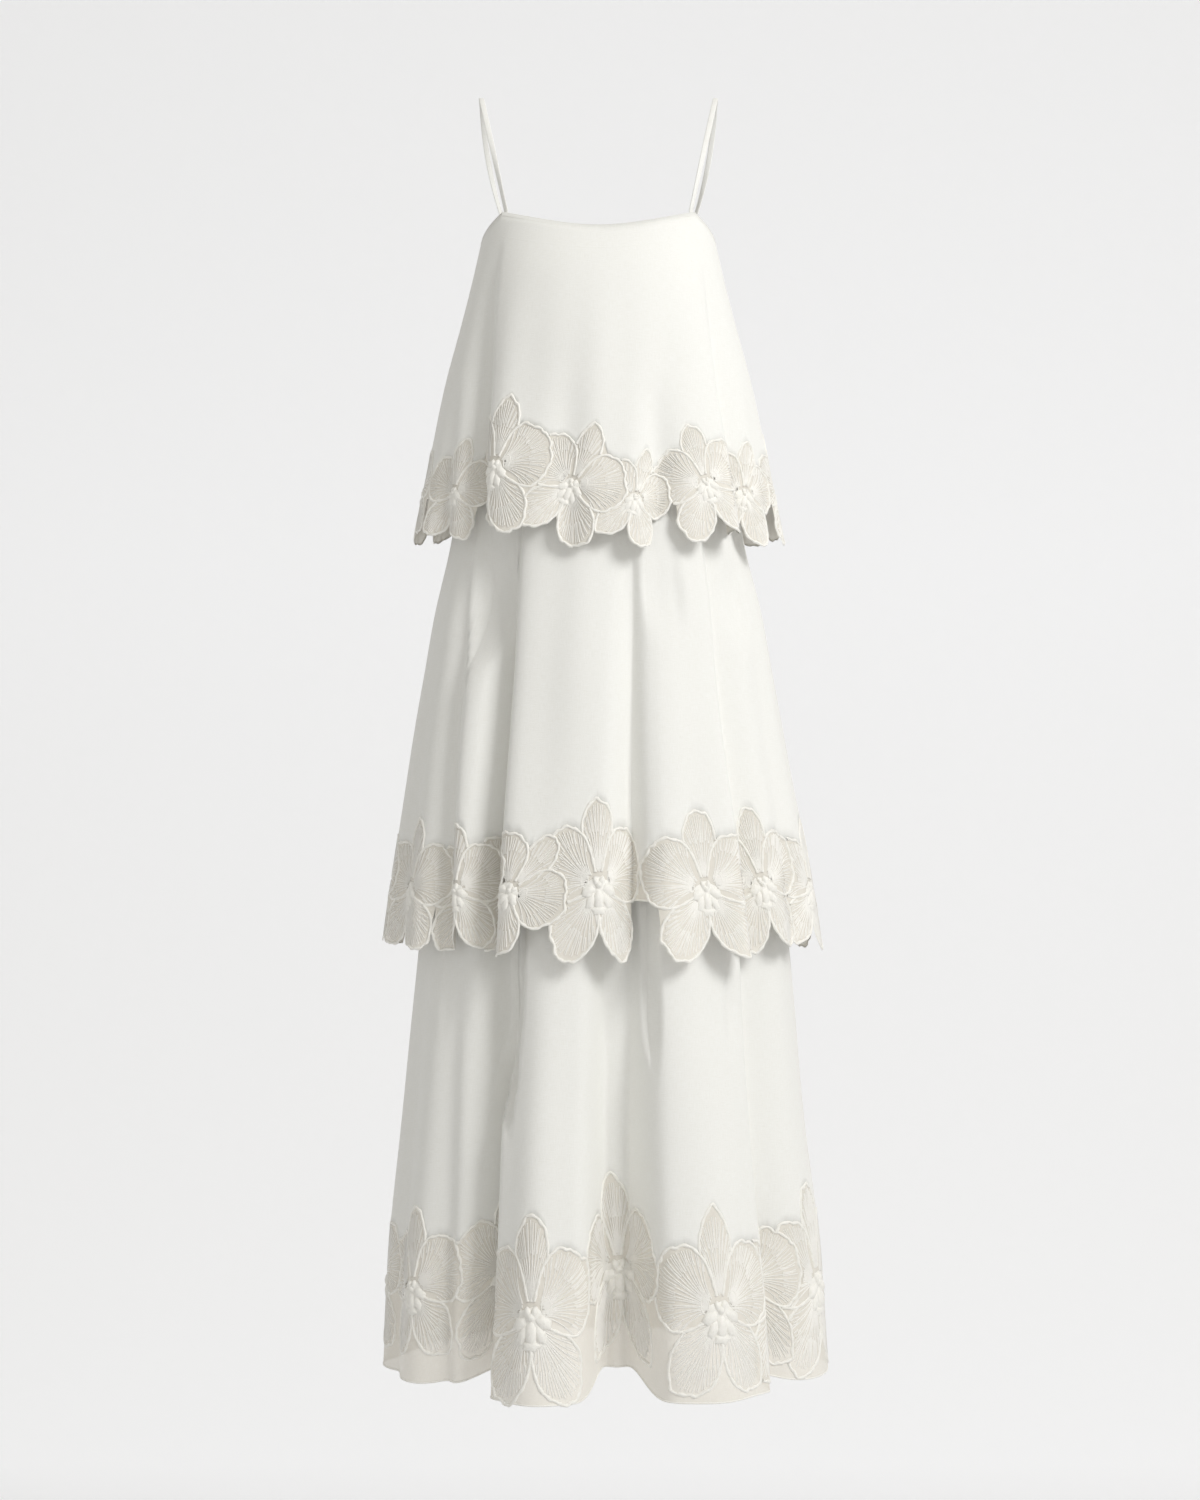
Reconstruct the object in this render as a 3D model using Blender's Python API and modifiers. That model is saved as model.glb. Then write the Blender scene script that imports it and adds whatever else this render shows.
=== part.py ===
"""A sleeveless maxi dress in three overlapping A-line tiers with orchid hem borders.

The dress hangs open and hollow as it is worn. Its origin is the middle of the shoulder line, between the
tops of the two straps. +Z is up, the front of the dress faces -Y and the wearer's left is towards +X. All
sizes are in metres and all angles in the tables are in degrees, counted from the centre front towards +X.

Each tier is a wall over a "reach": the distance from the dress's axis to the inside of the cloth, for a
direction and a height. Sections give its plain outline, folds are added to it, and a tier that hangs under
another stays inside it down to the other's hem. Pieces are cut in a flat plan, whose first coordinate runs
along the cloth round the tier and whose second is the height, and are then laid on that surface and given
their thickness.
"""

import math
from collections import namedtuple

import bmesh
import bpy
import numpy as np
from mathutils import Vector
from mathutils.geometry import delaunay_2d_cdt

# ---------------------------------------------------------------------------------------------------------
# Driving dimensions
# ---------------------------------------------------------------------------------------------------------

LINEN_WALL = 0.0014
ORGANZA_WALL = 0.0012
SEAM_GAP = 0.0003
ORCHID_GAP = 0.0005
CORD_HEIGHT = 0.0009
LIP_HEIGHT = 0.0045
SIDE_SEAM_ANGLE = 90.0

# How an inner tier keeps inside the one over it: its clearance, which grows over a ramp below the top edge
# where it is sewn in, the turns to either side over which it keeps clear of folds, and how it is let out
# below the outer tier's hem.
TIER_CLEARANCE = 0.003
CLEARANCE_RAMP = 0.030
SMOOTH_MIN_WIDTH = 0.004
LEAST_WIDTH = 1e-6
HELD_TURNS = (-6.0, -4.0, -2.0, 0.0, 2.0, 4.0, 6.0)
HEM_RELEASE = 0.20
HEM_RELEASE_START = 0.050
HEM_RELEASE_RUN = 0.40

# How folds grow: faster than in step with the height, from a soft start, and a little on below the hem.
FOLD_POWER = 1.15
FOLD_START_RATE = 4.0
MOST_GROWN = 1.15

# Neckline: straight across front and back with a slight dip, scooped under each arm.
FRONT_CORNER_ANGLE = 62.0
BACK_CORNER_ANGLE = 116.0
FRONT_CORNER_HEIGHT = -0.137
BACK_CORNER_HEIGHT = -0.139
FRONT_DIP = 0.021
BACK_DIP = 0.011
ARMHOLE_DROP = 0.023
CORNER_ANGLES = (
    -FRONT_CORNER_ANGLE,
    FRONT_CORNER_ANGLE,
    BACK_CORNER_ANGLE,
    360.0 - BACK_CORNER_ANGLE,
)

TOP_HEM = -0.490
MIDDLE_HEM = -0.938
BOTTOM_HEM = -1.414
BOTTOM_SEAM = -0.565

STRAP_TOP_X = 0.131
STRAP_WIDTH = 0.006
STRAP_THICKNESS = 0.0016
STRAP_TAIL = 0.010
STRAP_RISE = 0.0015
STRAP_ROOM = 0.0008
STRAP_STEPS = 26
STRAP_ARCH_POWER = 0.75
STRAP_BACK_LEAN_POWER = 1.8

Section = namedtuple("Section", "height half_width front_depth back_depth squareness sway")
Fold = namedtuple("Fold", "hem_angle top_angle start depth left_width right_width")
Flower = namedtuple("Flower", "angle height size aspect tilt eyelets")
Petal = namedtuple("Petal", "direction reach spread roundness point")
Tier = namedtuple(
    "Tier", "name sections folds seam hem flowers row_height band_top band_bottom rows slack over"
)

TOP_SECTIONS = (
    Section(-0.130, 0.123, 0.083, 0.084, 2.5, 0.000),
    Section(-0.162, 0.130, 0.095, 0.092, 2.4, 0.000),
    Section(-0.202, 0.139, 0.112, 0.098, 2.3, 0.000),
    Section(-0.259, 0.153, 0.124, 0.104, 2.2, 0.000),
    Section(-0.320, 0.169, 0.131, 0.112, 2.1, 0.000),
    Section(-0.387, 0.184, 0.140, 0.124, 2.05, 0.000),
    Section(-0.520, 0.211, 0.157, 0.144, 2.0, 0.000),
)
MIDDLE_SECTIONS = (
    Section(-0.130, 0.130, 0.098, 0.098, 2.4, 0.000),
    Section(-0.202, 0.134, 0.106, 0.092, 2.3, 0.000),
    Section(-0.320, 0.144, 0.119, 0.101, 2.2, 0.000),
    Section(-0.498, 0.163, 0.134, 0.120, 2.1, 0.000),
    Section(-0.577, 0.182, 0.143, 0.131, 2.05, 0.001),
    Section(-0.641, 0.193, 0.151, 0.140, 2.0, 0.001),
    Section(-0.733, 0.210, 0.162, 0.152, 2.0, 0.001),
    Section(-0.852, 0.230, 0.180, 0.170, 2.0, 0.003),
    Section(-0.970, 0.247, 0.195, 0.186, 2.0, 0.004),
)
BOTTOM_SECTIONS = (
    Section(-0.560, 0.192, 0.156, 0.146, 2.05, 0.001),
    Section(-0.660, 0.186, 0.150, 0.141, 2.0, 0.002),
    Section(-0.800, 0.194, 0.156, 0.148, 2.0, 0.004),
    Section(-0.947, 0.206, 0.166, 0.158, 2.0, 0.006),
    Section(-1.147, 0.225, 0.178, 0.173, 2.0, 0.006),
    Section(-1.300, 0.241, 0.190, 0.187, 2.0, 0.008),
    Section(-1.430, 0.249, 0.198, 0.197, 2.0, 0.008),
)

# A negative depth is a trough and a positive one a crest. Widths are the half widths on each side.
TOP_FOLDS = (
    Fold(-49.0, -60.0, -0.142, -0.038, 8.0, 3.4),
    Fold(-38.0, -44.0, -0.200, 0.006, 6.0, 9.0),
    Fold(-66.0, -70.0, -0.300, -0.014, 4.5, 4.0),
    Fold(-12.0, -14.0, -0.320, -0.007, 7.0, 8.0),
    Fold(27.0, 26.0, -0.310, -0.015, 7.0, 6.0),
    Fold(51.0, 51.0, -0.170, 0.009, 9.0, 4.0),
    Fold(59.5, 58.5, -0.160, -0.026, 3.2, 7.5),
    Fold(77.0, 77.0, -0.300, -0.008, 5.0, 4.5),
    Fold(112.0, 108.0, -0.210, -0.020, 5.0, 7.5),
    Fold(139.0, 136.0, -0.200, -0.026, 7.5, 4.2),
    Fold(163.0, 162.0, -0.310, -0.012, 6.5, 7.0),
    Fold(-169.0, -170.0, -0.250, -0.022, 5.0, 7.5),
    Fold(-140.0, -137.0, -0.200, -0.028, 7.0, 4.4),
    Fold(-117.0, -114.0, -0.290, -0.014, 6.0, 5.0),
    Fold(-102.0, -101.0, -0.330, -0.009, 4.5, 4.5),
)
MIDDLE_FOLDS = (
    Fold(-38.5, -40.5, -0.260, -0.060, 6.8, 3.2),
    Fold(-28.0, -30.0, -0.330, 0.007, 5.0, 9.0),
    Fold(-55.0, -66.0, -0.360, -0.026, 5.0, 4.0),
    Fold(-73.0, -76.0, -0.500, -0.009, 5.0, 5.0),
    Fold(11.5, 17.5, -0.340, -0.034, 7.5, 3.0),
    Fold(21.0, 27.0, -0.400, 0.007, 4.0, 8.0),
    Fold(44.0, 45.5, -0.300, 0.008, 8.0, 3.5),
    Fold(50.5, 52.0, -0.280, -0.024, 3.0, 6.5),
    Fold(69.0, 70.0, -0.450, -0.012, 5.0, 5.0),
    Fold(101.0, 101.0, -0.480, -0.012, 5.0, 5.0),
    Fold(118.0, 115.0, -0.300, -0.038, 3.4, 7.0),
    Fold(144.0, 141.0, -0.340, -0.030, 7.0, 4.4),
    Fold(168.0, 167.0, -0.360, -0.042, 3.8, 7.0),
    Fold(-163.0, -164.0, -0.420, -0.022, 6.5, 5.0),
    Fold(-137.0, -135.0, -0.300, -0.044, 7.2, 3.6),
    Fold(-113.0, -111.0, -0.380, -0.024, 4.5, 6.5),
    Fold(-100.0, -100.0, -0.520, -0.010, 4.5, 4.5),
)
BOTTOM_FOLDS = (
    Fold(-41.5, -40.0, -0.560, -0.088, 8.5, 3.4),
    Fold(-21.0, -23.0, -0.640, 0.022, 9.0, 9.0),
    Fold(-57.0, -58.0, -0.700, -0.020, 5.0, 4.5),
    Fold(-77.0, -78.0, -0.700, -0.012, 6.0, 6.0),
    Fold(-1.0, 1.0, -0.560, -0.072, 5.0, 8.0),
    Fold(12.0, 12.0, -0.560, -0.072, 8.0, 4.5),
    Fold(32.0, 31.0, -0.640, 0.019, 13.0, 13.0),
    Fold(57.0, 55.0, -0.600, -0.038, 3.4, 8.5),
    Fold(100.0, 99.0, -0.700, -0.016, 4.5, 4.0),
    Fold(113.0, 112.0, -0.580, -0.062, 4.2, 8.0),
    Fold(131.0, 130.0, -0.700, 0.014, 9.0, 9.0),
    Fold(149.0, 147.0, -0.600, -0.058, 7.5, 4.2),
    Fold(174.0, 172.0, -0.570, -0.078, 4.6, 7.8),
    Fold(-158.0, -159.0, -0.620, -0.040, 6.8, 4.8),
    Fold(-133.0, -132.0, -0.580, -0.072, 7.8, 3.8),
    Fold(-110.0, -110.0, -0.640, -0.036, 4.4, 7.0),
    Fold(-99.0, -99.0, -0.720, -0.014, 4.0, 4.5),
)

# One row for each orchid: where its centre lies, its size from the centre to the tip of the top petal, its
# width as a share of that, its tilt (positive turns it anticlockwise seen from outside), and whether eyelets
# are cut beside its centre.
TOP_FLOWERS = (
    Flower(-90.0, -0.442, 0.062, 0.90, 12.0, 0),
    Flower(-63.5, -0.448, 0.058, 0.90, -8.0, 1),
    Flower(-42.0, -0.425, 0.079, 0.90, -8.0, 1),
    Flower(-11.5, -0.446, 0.071, 0.90, -25.0, 1),
    Flower(15.0, -0.461, 0.056, 0.85, -20.0, 0),
    Flower(43.0, -0.443, 0.067, 0.95, 14.0, 1),
    Flower(66.0, -0.449, 0.060, 0.90, -14.0, 1),
    Flower(91.0, -0.440, 0.066, 0.95, 8.0, 0),
    Flower(117.0, -0.447, 0.064, 0.95, -12.0, 1),
    Flower(141.0, -0.436, 0.076, 0.90, 16.0, 1),
    Flower(166.0, -0.447, 0.064, 0.95, -10.0, 0),
    Flower(-170.0, -0.441, 0.072, 0.90, 10.0, 1),
    Flower(-143.0, -0.446, 0.068, 0.95, -18.0, 1),
    Flower(-116.0, -0.440, 0.070, 0.95, 10.0, 1),
)
MIDDLE_FLOWERS = (
    Flower(-93.0, -0.878, 0.078, 0.90, 8.0, 0),
    Flower(-70.0, -0.880, 0.076, 0.90, -3.0, 0),
    Flower(-51.0, -0.880, 0.074, 0.90, 6.0, 0),
    Flower(-38.5, -0.874, 0.080, 0.80, 0.0, 0),
    Flower(-29.5, -0.878, 0.076, 0.85, -42.0, 1),
    Flower(-1.0, -0.872, 0.094, 0.80, 0.0, 1),
    Flower(34.0, -0.877, 0.086, 0.98, 3.0, 1),
    Flower(57.5, -0.874, 0.084, 0.85, 6.0, 1),
    Flower(80.0, -0.882, 0.076, 0.95, -10.0, 0),
    Flower(106.0, -0.876, 0.084, 0.90, 10.0, 1),
    Flower(132.0, -0.880, 0.082, 0.95, -9.0, 1),
    Flower(157.0, -0.873, 0.092, 0.90, 6.0, 1),
    Flower(-176.0, -0.881, 0.078, 0.90, -12.0, 0),
    Flower(-148.0, -0.875, 0.090, 0.90, 10.0, 1),
    Flower(-120.0, -0.880, 0.082, 0.95, -8.0, 1),
)
BOTTOM_FLOWERS = (
    Flower(-93.0, -1.318, 0.092, 0.80, 6.0, 0),
    Flower(-66.0, -1.314, 0.088, 0.85, 4.0, 0),
    Flower(-45.0, -1.312, 0.100, 0.80, -4.0, 0),
    Flower(-21.5, -1.324, 0.108, 0.76, 2.0, 1),
    Flower(6.5, -1.304, 0.112, 0.76, 4.0, 1),
    Flower(33.0, -1.320, 0.106, 0.80, 0.0, 1),
    Flower(55.0, -1.318, 0.100, 0.78, 3.0, 0),
    Flower(76.0, -1.314, 0.112, 0.78, 2.0, 1),
    Flower(104.0, -1.322, 0.098, 0.82, -6.0, 0),
    Flower(129.0, -1.310, 0.112, 0.80, 4.0, 1),
    Flower(154.0, -1.322, 0.104, 0.82, -5.0, 1),
    Flower(-178.0, -1.310, 0.108, 0.80, 3.0, 1),
    Flower(-148.0, -1.322, 0.106, 0.82, -4.0, 1),
    Flower(-120.0, -1.312, 0.108, 0.80, 5.0, 1),
)

# Petals of one orchid: direction counted from +X of the flower, reach as a share of its size, half the angle
# it spreads over, how round it is (less is rounder), and how much its tip is drawn to a point.
PETALS = (
    Petal(90.0, 1.00, 30.0, 0.45, 0.13),
    Petal(25.0, 0.92, 50.0, 0.24, 0.03),
    Petal(155.0, 0.92, 50.0, 0.24, 0.03),
    Petal(-55.0, 0.98, 37.0, 0.38, 0.10),
    Petal(-125.0, 0.98, 37.0, 0.38, 0.10),
)
HEART_REACH = 0.46
OUTLINE_POINTS = 26
OUTLINE_START = 63.0
OUTLINE_STEP = 3.0
OUTLINE_RUN = 0.35
OUTLINE_TURN = 70.0
LEAST_MITRE = 0.35

# The raised lip of an orchid, as shares of its size: its reach, how tall it is against that, how far its
# ring is set down, and where its middle lies.
LIP_SHARE = 0.17
LIP_SPREAD = 0.255
LIP_TALL = 1.3
LIP_SET_DOWN = 0.7
LIP_MIDDLE = 0.12
LIP_TOP = 0.10
LIP_POINTS = 5

# Eyelets beside the orchid's centre: offsets and half sizes as shares of its size.
Eyelet = namedtuple("Eyelet", "across up half_width half_height")
EYELETS = (Eyelet(0.19, 0.10, 0.040, 0.080), Eyelet(-0.20, 0.06, 0.036, 0.070))
EYELET_POINTS = 6
LEAST_EYELET_HALF = 0.0026

# Rows are shares of the way from a tier's top edge down to its border, and of the way up a border.
TOP_ROWS = (0.25, 0.50, 0.75)
MIDDLE_ROWS = (0.12, 0.27, 0.42, 0.56, 0.71, 0.85)
BOTTOM_ROWS = (0.05, 0.18, 0.315, 0.45, 0.57, 0.715, 0.855)
BORDER_ROWS = (0.222, 0.50, 0.778)
BORDER_TOP_MARGIN = 0.010

# The tiers. The seam is the height of a level top edge, or None where the tier hangs from the neckline. The
# band joins the orchids above and below their row, and without a lower end it goes down to the hem. Slack
# is added to the room that the tier keeps inside the one over it.
TOP_TIER = Tier(
    name="top",
    sections=TOP_SECTIONS,
    folds=TOP_FOLDS,
    seam=None,
    hem=TOP_HEM,
    flowers=TOP_FLOWERS,
    row_height=-0.445,
    band_top=0.006,
    band_bottom=0.006,
    rows=TOP_ROWS,
    slack=0.0,
    over=None,
)
MIDDLE_TIER = Tier(
    name="middle",
    sections=MIDDLE_SECTIONS,
    folds=MIDDLE_FOLDS,
    seam=None,
    hem=MIDDLE_HEM,
    flowers=MIDDLE_FLOWERS,
    row_height=-0.880,
    band_top=0.008,
    band_bottom=0.008,
    rows=MIDDLE_ROWS,
    slack=0.0003,
    over=TOP_TIER,
)
BOTTOM_TIER = Tier(
    name="bottom",
    sections=BOTTOM_SECTIONS,
    folds=BOTTOM_FOLDS,
    seam=BOTTOM_SEAM,
    hem=BOTTOM_HEM,
    flowers=BOTTOM_FLOWERS,
    row_height=-1.318,
    band_top=0.008,
    band_bottom=None,
    rows=BOTTOM_ROWS,
    slack=0.0045,
    over=MIDDLE_TIER,
)

# How many columns each half of a tier has, and the tiers whose folds set their angles: the two that meet
# along the neckline share them.
NECK_TIERS = (TOP_TIER, MIDDLE_TIER)
COLUMNS = {"top": (26, NECK_TIERS), "middle": (26, NECK_TIERS), "bottom": (30, (BOTTOM_TIER,))}

PLAN_SAMPLES = 1801
PLAN_START = -200.0
PLAN_END = 400.0
COLUMN_RUN = 0.045
COLUMN_TURN = 16.0
NEAR_OUTLINE = 0.006
SHORTEST_EDGE = 0.0007
NEAR_CORNER = 0.0014
LINE_OVERRUN = 0.02
MERGE_POINTS = 1e-7
SEAM_FADE = 0.015
NORMAL_RUN = 0.004
NORMAL_RISE = 0.010
RIM_SHARP = 50.0

LINEN_COLOUR = (0.90, 0.90, 0.865, 1.0)
ORGANZA_COLOUR = (0.80, 0.775, 0.725, 1.0)
STRAP_COLOUR = (0.88, 0.88, 0.85, 1.0)
CLOTH_ROUGHNESS = 0.85


# ---------------------------------------------------------------------------------------------------------
# The surface of a tier
# ---------------------------------------------------------------------------------------------------------


def smooth_table(at, heights, values):
    """Read a table at the given heights on a smooth curve (cubic Hermite with central slopes)."""
    order = np.argsort(heights)
    xs = np.asarray(heights, float)[order]
    ys = np.asarray(values, float)[order]
    slopes = np.gradient(ys, xs)
    at = np.clip(at, xs[0], xs[-1])
    cell = np.clip(np.searchsorted(xs, at) - 1, 0, len(xs) - 2)
    run = xs[cell + 1] - xs[cell]
    t = (at - xs[cell]) / run
    start = (1 + 2 * t) * (1 - t) ** 2 * ys[cell] + t * (1 - t) ** 2 * run * slopes[cell]
    end = t**2 * (3 - 2 * t) * ys[cell + 1] + t**2 * (t - 1) * run * slopes[cell + 1]
    return start + end


def smooth_step(t):
    """Rise from 0 to 1 with level ends."""
    t = np.clip(t, 0.0, 1.0)
    return t * t * (3.0 - 2.0 * t)


def smooth_min(a, b, width):
    """The smaller of two values, rounded where they meet."""
    share = np.clip(0.5 + 0.5 * (b - a) / width, 0.0, 1.0)
    return b + (a - b) * share - width * share * (1.0 - share)


def wrapped(angle):
    """An angle in degrees brought to -180 to 180."""
    return (np.asarray(angle, float) + 180.0) % 360.0 - 180.0


def plain_reach(tier, angle, height):
    """Distance from the axis to the plain outline: a squared-off ellipse, deeper or flatter at the back."""
    heights = [s.height for s in tier.sections]
    half_width = smooth_table(height, heights, [s.half_width for s in tier.sections])
    front = smooth_table(height, heights, [s.front_depth for s in tier.sections])
    back = smooth_table(height, heights, [s.back_depth for s in tier.sections])
    power = smooth_table(height, heights, [s.squareness for s in tier.sections])
    sine = np.abs(np.sin(np.radians(angle)))
    cosine = np.cos(np.radians(angle))
    depth = np.where(cosine > 0, front, back)
    return ((sine / half_width) ** power + (np.abs(cosine) / depth) ** power) ** (-1.0 / power)


def fold_relief(tier, angle, height):
    """The sum of the folds: each a bell across, that grows from its start down to the hem."""
    relief = np.zeros(np.broadcast(angle, height).shape)
    for fold in tier.folds:
        grown = np.clip((fold.start - height) / (fold.start - tier.hem), 0.0, MOST_GROWN)
        growth = grown**FOLD_POWER * smooth_step(grown * FOLD_START_RATE)
        centre = fold.hem_angle + (fold.top_angle - fold.hem_angle) * (1.0 - np.clip(grown, 0.0, 1.0))
        away = wrapped(angle - centre)
        width = np.where(away < 0, fold.left_width, fold.right_width)
        relief = relief + fold.depth * growth * np.exp(-((away / width) ** 2))
    return relief


def reach(tier, angle, height):
    """Distance from the axis to the inside of the cloth, held inside the tier that hangs over it."""
    own = plain_reach(tier, angle, height) + fold_relief(tier, angle, height)
    if tier.over is None:
        return own
    seam = top_edge(tier, angle)
    below_seam = smooth_step((seam - height) / CLEARANCE_RAMP)
    room = LINEN_WALL + SEAM_GAP + tier.slack + TIER_CLEARANCE * below_seam
    release = HEM_RELEASE * smooth_step((tier.over.hem - HEM_RELEASE_START - height) / HEM_RELEASE_RUN)
    beside = [fold_relief(tier.over, angle + turn, height) for turn in HELD_TURNS]
    clear_of_folds = plain_reach(tier.over, angle, height) + np.minimum.reduce(beside)
    limit = np.minimum(reach(tier.over, angle, height), clear_of_folds) - room + release
    return smooth_min(own, limit, SMOOTH_MIN_WIDTH * below_seam + LEAST_WIDTH)


def surface(tier, angle, height):
    """Points on the inside of the cloth, as an array of x, y, z."""
    angle, height = np.broadcast_arrays(np.asarray(angle, float), np.asarray(height, float))
    distance = reach(tier, angle, height)
    sway = smooth_table(height, [s.height for s in tier.sections], [s.sway for s in tier.sections])
    x = distance * np.sin(np.radians(angle)) + sway
    y = -distance * np.cos(np.radians(angle))
    return np.stack([x, y, height], axis=-1)


def neckline(angle):
    """Height of the top edge: a cosine dip across front and back, and a rounded scoop under each arm."""
    side = np.abs(wrapped(angle))
    front = FRONT_CORNER_HEIGHT - FRONT_DIP * np.cos(np.radians(90.0 * side / FRONT_CORNER_ANGLE))
    along = np.clip((side - FRONT_CORNER_ANGLE) / (BACK_CORNER_ANGLE - FRONT_CORNER_ANGLE), 0.0, 1.0)
    line = FRONT_CORNER_HEIGHT + (BACK_CORNER_HEIGHT - FRONT_CORNER_HEIGHT) * along
    under_arm = line - ARMHOLE_DROP * np.sin(np.pi * along)
    from_centre = 90.0 * (180.0 - side) / (180.0 - BACK_CORNER_ANGLE)
    back = BACK_CORNER_HEIGHT - BACK_DIP * np.cos(np.radians(from_centre))
    return np.where(side <= FRONT_CORNER_ANGLE, front, np.where(side <= BACK_CORNER_ANGLE, under_arm, back))


def top_edge(tier, angle):
    """Height of a tier's upper edge: the neckline, or its level seam."""
    if tier.seam is None:
        return neckline(angle)
    return np.full(np.shape(angle), tier.seam)


# ---------------------------------------------------------------------------------------------------------
# The flat plan of a tier
# ---------------------------------------------------------------------------------------------------------


def plan_of(tier):
    """Angles, and the run along the folded cloth to each of them from the centre front, at the flower row."""
    angles = np.linspace(PLAN_START, PLAN_END, PLAN_SAMPLES)
    points = surface(tier, angles, np.full(angles.shape, tier.row_height))
    steps = np.linalg.norm(np.diff(points[:, :2], axis=0), axis=1)
    run = np.concatenate([[0.0], np.cumsum(steps)])
    return angles, run - np.interp(0.0, angles, run)


def run_at(plan, angle):
    """How far along the cloth an angle lies."""
    return np.interp(angle, plan[0], plan[1])


def angle_at(plan, run):
    """The angle that lies this far along the cloth."""
    return np.interp(run, plan[1], plan[0])


def columns_of(tier, plan, start, end, extra):
    """Runs of the mesh's columns: even steps of length plus turning, so that folds get more of them."""
    between = (plan[0] >= start) & (plan[0] <= end)
    angles = plan[0][between]
    count, sharing = COLUMNS[tier.name]
    weight = np.zeros(len(angles))
    for other in sharing:
        points = surface(other, angles, np.full(angles.shape, other.row_height))[:, :2]
        weight += turning_weight(points, COLUMN_RUN, COLUMN_TURN)
    chosen = np.interp(np.linspace(weight[0], weight[-1], count + 1), weight, angles)
    chosen[0] = start
    chosen[-1] = end
    for angle in extra:
        if start < angle < end:
            chosen[np.argmin(np.abs(chosen - angle))] = angle
    return run_at(plan, np.sort(chosen))


def turning_weight(points, run, turn):
    """A sum along a line of its length plus its turning, each as a share of one step."""
    ahead = np.gradient(points, axis=0)
    heading = np.degrees(np.unwrap(np.arctan2(ahead[:, 1], ahead[:, 0])))
    return np.cumsum(np.linalg.norm(ahead, axis=1) / run + np.abs(np.gradient(heading)) / turn)


def outline_reach(direction):
    """Distance from an orchid's centre to its edge as a share of its size: the longest petal there."""
    longest = np.full(np.shape(direction), HEART_REACH)
    for petal in PETALS:
        away = np.clip(np.abs(wrapped(direction - petal.direction)) / petal.spread, 0.0, 1.0)
        bell = np.cos(np.pi / 2 * away) ** petal.roundness
        longest = np.maximum(longest, petal.reach * bell * (1.0 - petal.point * away))
    return longest


def orchid_outline():
    """The outline of an orchid of size 1: points that crowd at its petals' tips and the notches between."""
    direction = np.radians(np.arange(OUTLINE_START, OUTLINE_START + 361.0, OUTLINE_STEP))
    distance = outline_reach(np.degrees(direction))
    points = np.column_stack([distance * np.cos(direction), distance * np.sin(direction)])
    weight = turning_weight(points, OUTLINE_RUN, OUTLINE_TURN)
    steps = np.linspace(weight[0], weight[-1], OUTLINE_POINTS + 1)[:-1]
    return points[np.unique(np.round(np.interp(steps, weight, np.arange(len(points)))).astype(int))]


def placed(centre, across, up, tilt):
    """Points of a flower turned by its tilt and moved to its centre in the plan."""
    turn = math.radians(tilt)
    x = across * math.cos(turn) - up * math.sin(turn)
    y = across * math.sin(turn) + up * math.cos(turn)
    return np.stack([centre[0] + x, centre[1] + y], axis=-1)


def flower_outline(flower, centre, grow):
    """The closed outline of an orchid in the plan, grown outwards by a seam's width."""
    points = orchid_outline() * [flower.size * flower.aspect, flower.size]
    points = points + outward_steps(points) * grow
    return placed(centre, points[:, 0], points[:, 1], flower.tilt)


def outward_steps(outline):
    """For each corner of a closed outline that runs anticlockwise, the move that sets both its edges one
    unit further out."""
    ahead = np.roll(outline, -1, axis=0) - outline
    ahead /= np.linalg.norm(ahead, axis=1)[:, None]
    normals = np.column_stack([ahead[:, 1], -ahead[:, 0]])
    before = np.roll(normals, 1, axis=0)
    both = normals + before
    return both / np.maximum((both * normals).sum(axis=1), LEAST_MITRE)[:, None]


def eyelet_outlines(flower, centre):
    """The outlines of the small cut-out holes beside an orchid's centre."""
    if not flower.eyelets:
        return []
    turn = np.arange(EYELET_POINTS) * 2 * np.pi / EYELET_POINTS
    found = []
    for eyelet in EYELETS:
        half_width = max(eyelet.half_width * flower.size, LEAST_EYELET_HALF)
        half_height = max(eyelet.half_height * flower.size, LEAST_EYELET_HALF)
        across = eyelet.across * flower.size * flower.aspect + half_width * np.sin(turn)
        up = eyelet.up * flower.size + half_height * np.cos(turn)
        found.append(placed(centre, across, up, flower.tilt))
    return found


def lip_points(flower, centre):
    """Points of the raised middle of an orchid: a ring about its centre and one within it."""
    turn = np.arange(LIP_POINTS) * 2 * np.pi / LIP_POINTS
    across = LIP_SHARE * flower.size * np.sin(turn)
    up = LIP_SHARE * flower.size * (np.cos(turn) * LIP_TALL - LIP_SET_DOWN)
    middle = placed(centre, 0.0, -LIP_MIDDLE * flower.size, flower.tilt)
    return np.vstack([placed(centre, across, up, flower.tilt), [middle]])


def inside(points, outline):
    """True for each point within a closed outline, by counting the edges to one side."""
    x, y = points[:, 0][:, None], points[:, 1][:, None]
    x0, y0 = outline[:, 0][None, :], outline[:, 1][None, :]
    x1, y1 = np.roll(x0, -1, axis=1), np.roll(y0, -1, axis=1)
    spans = (y0 > y) != (y1 > y)
    with np.errstate(divide="ignore", invalid="ignore"):
        crossing = x0 + (y - y0) * (x1 - x0) / (y1 - y0)
    return (spans & (x < crossing)).sum(axis=1) % 2 == 1


class Plan:
    """Collects the points and lines of one piece's flat plan and cuts it into triangles."""

    def __init__(self):
        self.points = []
        self.edges = []

    def add_line(self, points, closed):
        first = len(self.points)
        self.points.extend(Vector((float(p[0]), float(p[1]))) for p in points)
        count = len(points)
        last = count if closed else count - 1
        self.edges.extend((first + i, first + (i + 1) % count) for i in range(last))

    def add_points(self, points):
        self.points.extend(Vector((float(p[0]), float(p[1]))) for p in points)

    def triangles(self):
        """Points and triangles, where all the lines added are edges."""
        result = delaunay_2d_cdt(self.points, self.edges, [], 0, MERGE_POINTS, False)
        points = np.array([tuple(p) for p in result[0]])
        return points, np.array([tuple(f) for f in result[2]])


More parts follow.
